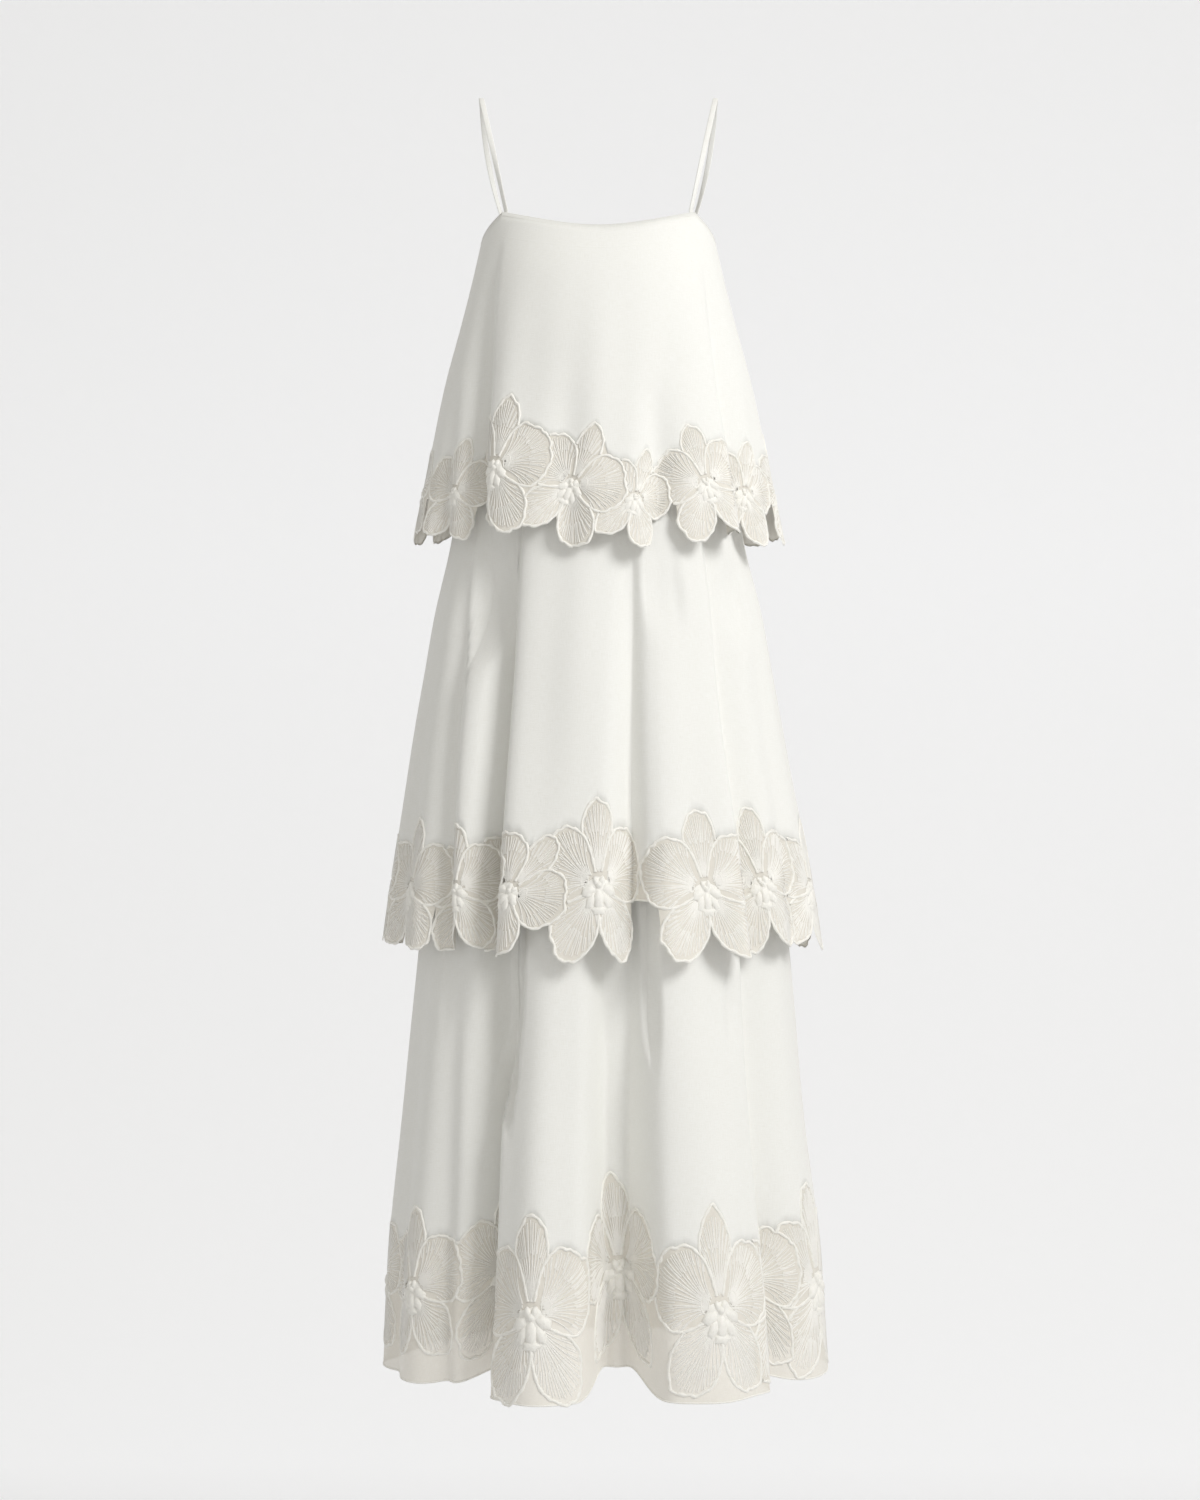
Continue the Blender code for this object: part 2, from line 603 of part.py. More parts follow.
def main_region(triangles, wanted, score):
    """The wanted triangles that join up, edge to edge, with the one of them that scores highest."""
    owner = {}
    for index in np.flatnonzero(wanted):
        corners = triangles[index]
        for k in range(3):
            edge = tuple(sorted((int(corners[k]), int(corners[(k + 1) % 3]))))
            owner.setdefault(edge, []).append(int(index))
    neighbours = {}
    for pair in owner.values():
        if len(pair) == 2:
            neighbours.setdefault(pair[0], []).append(pair[1])
            neighbours.setdefault(pair[1], []).append(pair[0])
    start = int(np.argmax(np.where(wanted, score, -np.inf)))
    reached = {start}
    waiting = [start]
    while waiting:
        for other in neighbours.get(waiting.pop(), []):
            if other not in reached:
                reached.add(other)
                waiting.append(other)
    kept = np.zeros(len(triangles), bool)
    kept[list(reached)] = True
    return kept


def far_from(points, outlines, distance):
    """The points that keep a distance from every corner and edge middle of the outlines."""
    if not outlines:
        return points
    corners = np.vstack(outlines)
    middles = np.vstack([(o + np.roll(o, -1, axis=0)) / 2 for o in outlines])
    marks = np.vstack([corners, middles])
    gaps = np.linalg.norm(points[:, None, :] - marks[None, :, :], axis=2).min(axis=1)
    return points[gaps > distance]


def flowers_on(tier, plan, start, end):
    """The tier's flowers that reach into a panel, with their centres in the plan."""
    found = []
    for flower in tier.flowers:
        for turn in (0.0, 360.0):
            angle = flower.angle + turn
            centre = np.array([run_at(plan, angle), flower.height])
            margin = flower.size
            if run_at(plan, start) - margin < centre[0] < run_at(plan, end) + margin:
                found.append((flower, centre))
    return found


def visible_lines(outlines):
    """For each outline the runs of its edges that no earlier outline covers."""
    lines = []
    for index, outline in enumerate(outlines):
        hidden = np.zeros(len(outline), bool)
        for earlier in outlines[:index]:
            hidden |= inside(outline, earlier)
        for k in range(len(outline)):
            after = (k + 1) % len(outline)
            if not (hidden[k] and hidden[after]):
                lines.append(np.array([outline[k], outline[after]]))
    return lines


def lines_outside(closed_line, outlines):
    """The edges of a closed line that don't lie within one of the outlines."""
    line = np.array(closed_line)
    ends = np.roll(line, -1, axis=0)
    hidden = np.zeros(len(line), bool)
    for outline in outlines:
        hidden |= inside(line, outline) & inside(ends, outline)
    return [np.array([line[k], ends[k]]) for k in np.flatnonzero(~hidden)]


def linen_plan(tier, plan, start, end):
    """Points and triangles of a linen panel: from its top edge down to the outlines of the orchids."""
    runs = columns_of(tier, plan, start, end, CORNER_ANGLES)
    runs[0] += SEAM_GAP / 2
    runs[-1] -= SEAM_GAP / 2
    tops = top_edge(tier, angle_at(plan, runs))
    flowers = flowers_on(tier, plan, start, end)
    outlines = [flower_outline(flower, centre, ORCHID_GAP) for flower, centre in flowers]
    bottom = tier.row_height + tier.band_top + SEAM_GAP
    piece = Plan()
    edge = [(u, z) for u, z in zip(runs, tops)]
    edge += [(runs[-1], bottom), (runs[0], bottom)]
    piece.add_line(edge, closed=True)
    for line in visible_lines(outlines):
        piece.add_line(line, closed=False)
    grid = []
    for u, top in zip(runs, tops):
        grid += [(u, top + (bottom - top) * share) for share in tier.rows]
    piece.add_points(far_from(np.array(grid), outlines, NEAR_OUTLINE))
    points, triangles = piece.triangles()
    middles = points[triangles].mean(axis=1)
    wanted = inside(middles, np.array(edge))
    for outline in outlines:
        wanted &= ~inside(middles, outline)
    return points, triangles[main_region(triangles, wanted, middles[:, 1])]


def border_plan(tier, plan, start, end):
    """Points and triangles of an organza border: the orchids, the band that joins them, and the pockets
    between orchids that no linen reaches. Also the outlines of its orchids, and the orchids."""
    runs = columns_of(tier, plan, start, end, ())
    left, right = runs[0] + SEAM_GAP / 2, runs[-1] - SEAM_GAP / 2
    flowers = flowers_on(tier, plan, start, end)
    outlines = [flower_outline(flower, centre, 0.0) for flower, centre in flowers]
    holes = [hole for flower, centre in flowers for hole in eyelet_outlines(flower, centre)]
    band_high = tier.row_height + tier.band_top
    band_low = tier.hem if tier.band_bottom is None else tier.row_height - tier.band_bottom
    highest = max(outline[:, 1].max() for outline in outlines)
    lowest = min(min(outline[:, 1].min() for outline in outlines), band_low)
    piece = Plan()
    across = [left, *runs[1:-1], right]
    band = [(u, band_high) for u in across] + [(u, band_low) for u in across[::-1]]
    for line in lines_outside(band, outlines):
        piece.add_line(line, closed=False)
    for side in (left, right):
        piece.add_line([(side, highest + LINE_OVERRUN), (side, lowest - LINE_OVERRUN)], closed=False)
    for line in visible_lines(outlines):
        piece.add_line(line, closed=False)
    for hole in holes:
        piece.add_line(hole, closed=True)
    rise = highest - BORDER_TOP_MARGIN - lowest
    grid = [(u, lowest + rise * share) for u in runs[1:-1] for share in BORDER_ROWS]
    lips = np.vstack([lip_points(flower, centre) for flower, centre in flowers])
    piece.add_points(far_from(np.array(grid), outlines + holes + [lips], NEAR_OUTLINE))
    lips = lips[(lips[:, 0] > left + NEAR_OUTLINE) & (lips[:, 0] < right - NEAR_OUTLINE)]
    piece.add_points(lips)
    points, triangles = piece.triangles()
    middles = points[triangles].mean(axis=1)
    between = (middles[:, 0] > left) & (middles[:, 0] < right)
    covered = inside(middles, np.array(band))
    for outline in outlines:
        covered |= inside(middles, outline)
    open_above = between & ~covered & (middles[:, 1] > band_low)
    if open_above.any():
        linen = main_region(triangles, open_above, middles[:, 1])
        covered |= open_above & ~linen & (middles[:, 1] > band_high)
    if tier.band_bottom is None:
        covered &= middles[:, 1] > band_low
    wanted = covered & between
    for hole in holes:
        wanted &= ~inside(middles, hole)
    nearest_row = -np.abs(middles[:, 1] - tier.row_height)
    return points, triangles[main_region(triangles, wanted, nearest_row)], outlines, flowers


# ---------------------------------------------------------------------------------------------------------
# Meshes
# ---------------------------------------------------------------------------------------------------------


def material(name, colour):
    """A plain cloth material."""
    made = bpy.data.materials.new(name)
    made.use_nodes = True
    shader = made.node_tree.nodes["Principled BSDF"]
    shader.inputs["Base Color"].default_value = colour
    shader.inputs["Roughness"].default_value = CLOTH_ROUGHNESS
    shader.inputs["Metallic"].default_value = 0.0
    return made


def tidy_plan(points, triangles):
    """The plan's points and triangles, without unused points, and with its shortest edges closed."""
    mesh = bpy.data.meshes.new("plan")
    flat = np.column_stack([points, np.zeros(len(points))])
    mesh.from_pydata(flat.tolist(), [], triangles.tolist())
    work = bmesh.new()
    work.from_mesh(mesh)
    bpy.data.meshes.remove(mesh)
    bmesh.ops.delete(work, geom=[v for v in work.verts if not v.link_faces], context="VERTS")
    bmesh.ops.remove_doubles(work, verts=work.verts, dist=SHORTEST_EDGE)
    work.verts.index_update()
    kept = np.array([v.co.to_tuple()[:2] for v in work.verts])
    faces = np.array([[v.index for v in f.verts] for f in work.faces])
    work.free()
    return kept, faces


def rim_edges(triangles):
    """The edges that only one triangle uses, each in that triangle's direction."""
    ends = np.concatenate([triangles[:, [0, 1]], triangles[:, [1, 2]], triangles[:, [2, 0]]])
    _, index, count = np.unique(np.sort(ends, axis=1), axis=0, return_inverse=True, return_counts=True)
    return ends[count[index.reshape(-1)] == 1]


def rim_faces(flat, rim, count):
    """Triangles that close the rim between the inner and the outer sheet. Each pair is split from the inner
    end that lies first round the tier, so that the rims of two neighbouring pieces run alike."""
    start, end = rim[:, 0], rim[:, 1]
    forward = (flat[start, 0] < flat[end, 0])[:, None]
    to_end = np.column_stack([start, end, end + count, start, end + count, start + count])
    to_start = np.column_stack([start, end, start + count, end, end + count, start + count])
    return np.where(forward, to_end, to_start).reshape(-1, 3)


def cloth_normals(tier, plan, flat):
    """Outward directions of the tier's cloth at points of its plan."""
    angle = angle_at(plan, flat[:, 0])
    ahead = surface(tier, angle_at(plan, flat[:, 0] + NORMAL_RUN), flat[:, 1])
    behind = surface(tier, angle_at(plan, flat[:, 0] - NORMAL_RUN), flat[:, 1])
    above = surface(tier, angle, flat[:, 1] + NORMAL_RISE)
    below = surface(tier, angle, flat[:, 1] - NORMAL_RISE)
    normals = np.cross(ahead - behind, above - below)
    return normals / np.linalg.norm(normals, axis=1)[:, None]


def cloth_wall(tier, plan, flat, triangles, thickness, name, finish, collection):
    """A closed wall of cloth: the plan laid on the tier as its inside, the same moved out by the thickness
    at each point as its outside, and a rim between them."""
    inner = surface(tier, angle_at(plan, flat[:, 0]), flat[:, 1])
    outer = inner + cloth_normals(tier, plan, flat) * thickness[:, None]
    count = len(flat)
    faces = np.vstack([triangles + count, triangles[:, ::-1], rim_faces(flat, rim_edges(triangles), count)])
    mesh = bpy.data.meshes.new(name)
    mesh.from_pydata(np.vstack([inner, outer]).tolist(), [], faces.tolist())
    mesh.update()
    mesh.set_sharp_from_angle(angle=math.radians(RIM_SHARP))
    return finished(mesh, name, finish, collection)


def finished(mesh, name, finish, collection):
    """The mesh as a named object, smooth shaded, in the dress's collection."""
    mesh.materials.append(finish)
    mesh.shade_smooth()
    made = bpy.data.objects.new(name, mesh)
    collection.objects.link(made)
    return made


def linen_panel(tier, plan, start, end, name, finish, collection):
    """A linen panel of even thickness."""
    points, triangles = linen_plan(tier, plan, start, end)
    flat, triangles = tidy_plan(points, triangles)
    thickness = np.full(len(flat), LINEN_WALL)
    return cloth_wall(tier, plan, flat, triangles, thickness, name, finish, collection)


def border_thickness(flat, outlines, flowers):
    """Wall of the border at each point: thin, raised on the orchids' cords and most on their lips, and
    thin again at the side seams."""
    relief = np.zeros(len(flat))
    corners = np.vstack(outlines)
    gaps = np.linalg.norm(flat[:, None, :] - corners[None, :, :], axis=2).min(axis=1)
    relief[gaps < NEAR_CORNER] = CORD_HEIGHT
    for flower, centre in flowers:
        middle = placed(centre, 0.0, -LIP_TOP * flower.size, flower.tilt)
        away = np.linalg.norm(flat - middle, axis=1) / (LIP_SPREAD * flower.size)
        relief = np.maximum(relief, LIP_HEIGHT * np.exp(-(away**2)))
    from_seam = np.minimum(flat[:, 0] - flat[:, 0].min(), flat[:, 0].max() - flat[:, 0])
    return ORGANZA_WALL + relief * smooth_step(from_seam / SEAM_FADE)


def border_panel(tier, plan, start, end, name, finish, collection):
    """An organza border: plain inside, with the orchids' cords and lips raised on its outside."""
    points, triangles, outlines, flowers = border_plan(tier, plan, start, end)
    flat, triangles = tidy_plan(points, triangles)
    thickness = border_thickness(flat, outlines, flowers)
    return cloth_wall(tier, plan, flat, triangles, thickness, name, finish, collection)


def landing(side, angle, below):
    """A point just inside the middle tier, a distance below its top edge, and the cloth's direction there."""
    at = side * angle
    height = float(neckline(at)) - below
    here = surface(MIDDLE_TIER, at, height)
    along = surface(MIDDLE_TIER, at + side * 1.0, height) - surface(MIDDLE_TIER, at - side * 1.0, height)
    along /= np.linalg.norm(along)
    outward = np.cross(along, [0.0, 0.0, 1.0]) * side
    return here - outward * (STRAP_ROOM + STRAP_THICKNESS / 2), along


def strap_path(side):
    """The strap's centre line and its width direction at each point: sewn in at the front corner, up over
    the shoulder in an arch, and down to the back corner."""
    front_tail, front_along = landing(side, FRONT_CORNER_ANGLE, STRAP_TAIL)
    front, _ = landing(side, FRONT_CORNER_ANGLE, -STRAP_RISE)
    back_tail, back_along = landing(side, BACK_CORNER_ANGLE, STRAP_TAIL)
    back, _ = landing(side, BACK_CORNER_ANGLE, -STRAP_RISE)
    turn = np.linspace(0.0, np.pi, STRAP_STEPS)
    ahead = turn < np.pi / 2
    rise = np.sin(turn).clip(0.0, 1.0) ** STRAP_ARCH_POWER
    foot = np.where(ahead[:, None], front, back)
    y = np.where(ahead, front[1], -back[1]) * np.cos(turn)
    z = foot[:, 2] * (1.0 - rise)
    down = np.where(ahead, 1.0 - rise, (1.0 - rise) ** STRAP_BACK_LEAN_POWER)
    x = side * STRAP_TOP_X + (foot[:, 0] - side * STRAP_TOP_X) * down
    path = np.column_stack([x, y, z])
    path = np.vstack([front_tail, path, back_tail])
    across = np.array([side, 0.0, 0.0])
    twist = ((1.0 - rise) ** 2)[:, None]
    foot_along = np.where(ahead[:, None], front_along, -back_along)
    width = across * (1.0 - twist) + foot_along * twist
    width = np.vstack([width[0], width, width[-1]])
    return path, width / np.linalg.norm(width, axis=1)[:, None]


def strap(side, name, finish, collection):
    """A flat strap: a ribbon along its path with the strap's thickness."""
    path, width = strap_path(side)
    left = path - width * STRAP_WIDTH / 2
    right = path + width * STRAP_WIDTH / 2
    points = np.vstack([left, path, right])
    count = len(path)
    rows = [(0, 1), (1, 2)]
    faces = [
        (a * count + k, a * count + k + 1, b * count + k + 1, b * count + k)
        for a, b in rows
        for k in range(count - 1)
    ]
    mesh = bpy.data.meshes.new(name)
    mesh.from_pydata(points.tolist(), [], faces)
    mesh.update()
    made = finished(mesh, name, finish, collection)
    wall = made.modifiers.new("wall", "SOLIDIFY")
    wall.thickness = STRAP_THICKNESS
    wall.offset = 0.0
    return made


# ---------------------------------------------------------------------------------------------------------
# The dress
# ---------------------------------------------------------------------------------------------------------

def clear_scene():
    """Remove what the scene holds."""
    for obj in list(bpy.data.objects):
        bpy.data.objects.remove(obj, do_unlink=True)


def build_dress():
    """Make every piece of the dress."""
    clear_scene()
    collection = bpy.data.collections.new("maxi_dress")
    bpy.context.scene.collection.children.link(collection)
    halves = (
        ("front", -SIDE_SEAM_ANGLE, SIDE_SEAM_ANGLE),
        ("back", SIDE_SEAM_ANGLE, 360.0 - SIDE_SEAM_ANGLE),
    )
    for tier in (TOP_TIER, MIDDLE_TIER, BOTTOM_TIER):
        plan = plan_of(tier)
        for half, start, end in halves:
            panel_name = f"{tier.name}_tier_{half}"
            linen_panel(tier, plan, start, end, panel_name, material(panel_name, LINEN_COLOUR), collection)
            border_name = f"{tier.name}_border_{half}"
            border_panel(tier, plan, start, end, border_name, material(border_name, ORGANZA_COLOUR), collection)
    for side, name in ((1.0, "strap_left"), (-1.0, "strap_right")):
        strap(side, name, material(name, STRAP_COLOUR), collection)


build_dress()
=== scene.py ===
"""A sleeveless maxi dress in three overlapping A-line tiers with orchid hem borders, dressed on its frame.

The dress hangs open and hollow from the shoulders. Its origin is the middle of the shoulder line, +Z is up
and the front faces -Y. Every tier is cut in a flat plan of run along the cloth and height, and is laid on a
"reach": the distance from the dress's axis to the cloth. Sizes are in metres, angles in degrees from the
centre front.
"""

import logging
import math
from dataclasses import dataclass, field
from enum import Enum
from typing import Any, TypeVar

import bpy
import numpy as np
from numpy.typing import NDArray
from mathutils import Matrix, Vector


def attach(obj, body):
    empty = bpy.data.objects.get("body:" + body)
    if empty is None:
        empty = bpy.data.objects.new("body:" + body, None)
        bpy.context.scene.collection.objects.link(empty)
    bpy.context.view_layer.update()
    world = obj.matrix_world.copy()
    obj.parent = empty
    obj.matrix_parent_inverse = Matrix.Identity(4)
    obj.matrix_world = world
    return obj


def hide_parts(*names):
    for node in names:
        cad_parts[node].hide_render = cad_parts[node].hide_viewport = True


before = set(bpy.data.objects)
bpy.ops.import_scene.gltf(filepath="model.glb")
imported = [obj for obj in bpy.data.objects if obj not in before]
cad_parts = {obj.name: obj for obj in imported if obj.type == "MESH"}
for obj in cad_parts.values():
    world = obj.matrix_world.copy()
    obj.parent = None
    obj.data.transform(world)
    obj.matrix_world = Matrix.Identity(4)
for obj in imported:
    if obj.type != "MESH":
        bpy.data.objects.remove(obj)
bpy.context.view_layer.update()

Array = NDArray[np.float64]
Mask = NDArray[np.bool_]
Quads = NDArray[np.int64]
Triple = tuple[float, float, float]
Material, Piece = bpy.types.Material, bpy.types.Object
Row = TypeVar("Row")
log = logging.getLogger("maxi_dress")


class Half(Enum):
    """The two halves that a tier is cut in: their word in a piece's name and their side seams' angles."""

    FRONT = ("front", -90.0, 90.0)
    BACK = ("back", 90.0, 270.0)

    def __init__(self, label: str, start: float, end: float) -> None:
        """Give the half its word and the angles where it begins and ends."""
        self.label, self.start, self.end = label, start, end


# ---- Small shaping functions ----


def smooth_table(at: Array, heights: list[float], values: list[float]) -> Array:
    """Read a table on a smooth curve: cubic Hermite pieces whose slopes are the central differences.

    Args:
        at: Heights to read at.
        heights: The rows' heights.
        values: The rows' values.

    Returns:
        The values at the heights read.
    """
    order = np.argsort(heights)
    xs, ys = np.asarray(heights, float)[order], np.asarray(values, float)[order]
    slopes = np.gradient(ys, xs)
    at = np.clip(at, xs[0], xs[-1])
    cell = np.clip(np.searchsorted(xs, at) - 1, 0, len(xs) - 2)
    run = xs[cell + 1] - xs[cell]
    t = (at - xs[cell]) / run
    start = (1 + 2 * t) * (1 - t) ** 2 * ys[cell] + t * (1 - t) ** 2 * run * slopes[cell]
    return start + t**2 * (3 - 2 * t) * ys[cell + 1] + t**2 * (t - 1) * run * slopes[cell + 1]


def smooth_step(t: Array) -> Array:
    """Rise from 0 to 1 with level ends: 3t^2 - 2t^3."""
    t = np.clip(t, 0.0, 1.0)
    return t * t * (3.0 - 2.0 * t)


def smooth_min(a: Array, b: Array, width: Array) -> Array:
    """The smaller of two values, rounded over a width where they meet."""
    share = np.clip(0.5 + 0.5 * (b - a) / width, 0.0, 1.0)
    return b + (a - b) * share - width * share * (1.0 - share)


def wrapped(angle: Array) -> Array:
    """An angle in degrees brought to -180 to 180."""
    return (np.asarray(angle, float) + 180.0) % 360.0 - 180.0


def unit(vectors: Array) -> Array:
    """Vectors brought to a length of one."""
    return vectors / np.maximum(np.linalg.norm(vectors, axis=-1, keepdims=True), 1e-9)


def turned(points: Array, angle: float) -> Array:
    """Points of the plan turned about its origin, from its first axis towards its second."""
    cosine, sine = math.cos(math.radians(angle)), math.sin(math.radians(angle))
    return points @ np.array([[cosine, sine], [-sine, cosine]])


def walked(points: Array) -> Array:
    """Distance walked to each point of a line, or of each line where there are several."""
    steps = np.linalg.norm(np.diff(points, axis=-2), axis=-1)
    return np.concatenate([np.zeros_like(steps[..., :1]), np.cumsum(steps, axis=-1)], axis=-1)


def even_path(points: Array, step: float) -> Array:
    """A line walked again in even steps of about the length asked for, from its first corner to its last."""
    lengths = walked(points)
    places = np.linspace(0.0, lengths[-1], max(4, int(round(lengths[-1] / step)) + 1))
    return np.column_stack([np.interp(places, lengths, points[:, k]) for k in range(points.shape[1])])


def crossings(at: Array, along: Array, across: Array) -> tuple[Mask, Array]:
    """Where the sides of a closed outline meet lines across a direction.

    Args:
        at: The lines' places along the direction.
        along: The outline's corners along it.
        across: The outline's corners across it.

    Returns:
        Which sides span a line and where they meet it: a row for each line, a column for each side.
    """
    at, along_next, across_next = at[:, None], np.roll(along, -1), np.roll(across, -1)
    with np.errstate(divide="ignore", invalid="ignore"):
        meeting = across + (at - along) * (across_next - across) / (along_next - along)
    return (along > at) != (along_next > at), meeting


def hidden(points: Array, outlines: list[Array]) -> Mask:
    """True for each point within any closed outline: an odd number of its sides lie to the point's right."""
    under = np.zeros(len(points), bool)
    for outline in outlines:
        spans, meeting = crossings(points[:, 1], outline[:, 1], outline[:, 0])
        under |= (spans & (points[:, :1] < meeting)).sum(axis=1) % 2 == 1
    return under


def envelope(runs: Array, outlines: list[Array], start: float, upper: bool) -> Array:
    """The highest or lowest height that any outline reaches over each run.

    Args:
        runs: Runs to read at.
        outlines: Closed outlines in the plan.
        start: Height to begin from.
        upper: True for the highest, false for the lowest.

    Returns:
        A height for each run.
    """
    pick = np.maximum if upper else np.minimum
    found = np.full(runs.shape, start)
    for outline in outlines:
        spans, meeting = crossings(runs, outline[:, 0], outline[:, 1])
        found = pick.reduce(np.where(spans, meeting, found[:, None]), axis=1)
    return found


def grid_quads(rows: int, columns: int) -> Quads:
    """Quads of a grid of points stored row by row, where columns run forward and rows run up."""
    corner = (np.arange(rows - 1)[:, None] * columns + np.arange(columns - 1)[None, :]).reshape(-1)
    return np.column_stack([corner, corner + 1, corner + columns + 1, corner + columns])


def panel_grid(runs: Array, low: Array, high: Array, rows: int, out: float) -> tuple[Array, Quads]:
    """Lay out a panel in the plan: each column parted evenly into rows.

    Args:
        runs: The columns' runs.
        low: Heights of their lower ends.
        high: Heights of their upper ends.
        rows: Number of rows.
        out: How far out of the tier's surface they lie.

    Returns:
        The points, as run, height and out, and the faces.
    """
    share = np.linspace(0.0, 1.0, rows)[:, None]
    flat = np.empty((rows, len(runs), 3))
    flat[..., 0], flat[..., 1], flat[..., 2] = runs, low * (1.0 - share) + high * share, out
    return flat.reshape(-1, 3), grid_quads(rows, len(runs))


# ---- The cut of the dress ----


@dataclass(frozen=True)
class Section:
    """The plain outline of a tier at one height."""

    height: float
    half_width: float
    front_depth: float
    back_depth: float
    squareness: float
    sway: float = 0.0


@dataclass(frozen=True)
class Fold:
    """A fold that runs down a tier: a trough where its depth is negative, else a crest."""

    hem_angle: float
    top_angle: float
    start: float
    depth: float
    left_width: float
    right_width: float


@dataclass(frozen=True)
class Flower:
    """An orchid on its tier: centre, size to its top tip, width share, tilt, and 1 where it has eyelets."""

    angle: float
    height: float
    size: float
    aspect: float
    tilt: float
    eyelets: int = 1


@dataclass(frozen=True)
class Petal:
    """One petal: its direction, reach as a share of the size, half spread, roundness and point."""

    direction: float
    reach: float
    spread: float
    roundness: float
    point: float


def rows(kind: type[Row], *table: tuple[float, ...]) -> tuple[Row, ...]:
    """One object of a kind for each row of its values."""
    return tuple(kind(*values) for values in table)


TOP_SECTIONS = rows(
    Section,
    (-0.13, 0.123, 0.083, 0.084, 2.5), (-0.162, 0.13, 0.095, 0.092, 2.4),
    (-0.202, 0.139, 0.112, 0.098, 2.3), (-0.259, 0.153, 0.124, 0.104, 2.2),
    (-0.32, 0.169, 0.131, 0.112, 2.1), (-0.387, 0.184, 0.14, 0.124, 2.05), (-0.52, 0.211, 0.157, 0.144, 2),
)
MIDDLE_SECTIONS = rows(
    Section,
    (-0.13, 0.13, 0.098, 0.098, 2.4), (-0.202, 0.134, 0.106, 0.092, 2.3), (-0.32, 0.144, 0.119, 0.101, 2.2),
    (-0.498, 0.163, 0.134, 0.12, 2.1), (-0.577, 0.182, 0.143, 0.131, 2.05, 0.001),
    (-0.641, 0.193, 0.151, 0.14, 2, 0.001), (-0.733, 0.21, 0.162, 0.152, 2, 0.001),
    (-0.852, 0.23, 0.18, 0.17, 2, 0.003), (-0.97, 0.247, 0.195, 0.186, 2, 0.004),
)
BOTTOM_SECTIONS = rows(
    Section,
    (-0.56, 0.192, 0.156, 0.146, 2.05, 0.001), (-0.66, 0.186, 0.15, 0.141, 2, 0.002),
    (-0.8, 0.194, 0.156, 0.148, 2, 0.004), (-0.947, 0.206, 0.166, 0.158, 2, 0.006),
    (-1.147, 0.225, 0.178, 0.173, 2, 0.006), (-1.3, 0.241, 0.19, 0.187, 2, 0.008),
    (-1.43, 0.249, 0.198, 0.197, 2, 0.008),
)
TOP_FOLDS = rows(
    Fold,
    (-49, -60, -0.142, -0.038, 8, 3.4), (-38, -44, -0.2, 0.006, 6, 9), (-66, -70, -0.3, -0.014, 4.5, 4),
    (-12, -14, -0.32, -0.007, 7, 8), (27, 26, -0.31, -0.015, 7, 6), (51, 51, -0.17, 0.009, 9, 4),
    (59.5, 58.5, -0.16, -0.026, 3.2, 7.5), (77, 77, -0.3, -0.008, 5, 4.5), (112, 108, -0.21, -0.02, 5, 7.5),
    (139, 136, -0.2, -0.026, 7.5, 4.2), (163, 162, -0.31, -0.012, 6.5, 7),
    (-169, -170, -0.25, -0.022, 5, 7.5), (-140, -137, -0.2, -0.028, 7, 4.4),
    (-117, -114, -0.29, -0.014, 6, 5), (-102, -101, -0.33, -0.009, 4.5, 4.5),
)
MIDDLE_FOLDS = rows(
    Fold,
    (-38.5, -40.5, -0.26, -0.06, 6.8, 3.2), (-28, -30, -0.33, 0.007, 5, 9), (-55, -66, -0.36, -0.026, 5, 4),
    (-73, -76, -0.5, -0.009, 5, 5), (11.5, 17.5, -0.34, -0.034, 7.5, 3), (21, 27, -0.4, 0.007, 4, 8),
    (44, 45.5, -0.3, 0.008, 8, 3.5), (50.5, 52, -0.28, -0.024, 3, 6.5), (69, 70, -0.45, -0.012, 5, 5),
    (101, 101, -0.48, -0.012, 5, 5), (118, 115, -0.3, -0.038, 3.4, 7), (144, 141, -0.34, -0.03, 7, 4.4),
    (168, 167, -0.36, -0.042, 3.8, 7), (-163, -164, -0.42, -0.022, 6.5, 5),
    (-137, -135, -0.3, -0.044, 7.2, 3.6), (-113, -111, -0.38, -0.024, 4.5, 6.5),
    (-100, -100, -0.52, -0.01, 4.5, 4.5),
)
BOTTOM_FOLDS = rows(
    Fold,
    (-41.5, -40, -0.56, -0.088, 8.5, 3.4), (-21, -23, -0.64, 0.022, 9, 9), (-57, -58, -0.7, -0.02, 5, 4.5),
    (-77, -78, -0.7, -0.012, 6, 6), (-1, 1, -0.56, -0.072, 5, 8), (12, 12, -0.56, -0.072, 8, 4.5),
    (32, 31, -0.64, 0.019, 13, 13), (57, 55, -0.6, -0.038, 3.4, 8.5), (100, 99, -0.7, -0.016, 4.5, 4),
    (113, 112, -0.58, -0.062, 4.2, 8), (131, 130, -0.7, 0.014, 9, 9), (149, 147, -0.6, -0.058, 7.5, 4.2),
    (174, 172, -0.57, -0.078, 4.6, 7.8), (-158, -159, -0.62, -0.04, 6.8, 4.8),
    (-133, -132, -0.58, -0.072, 7.8, 3.8), (-110, -110, -0.64, -0.036, 4.4, 7),
    (-99, -99, -0.72, -0.014, 4, 4.5),
)
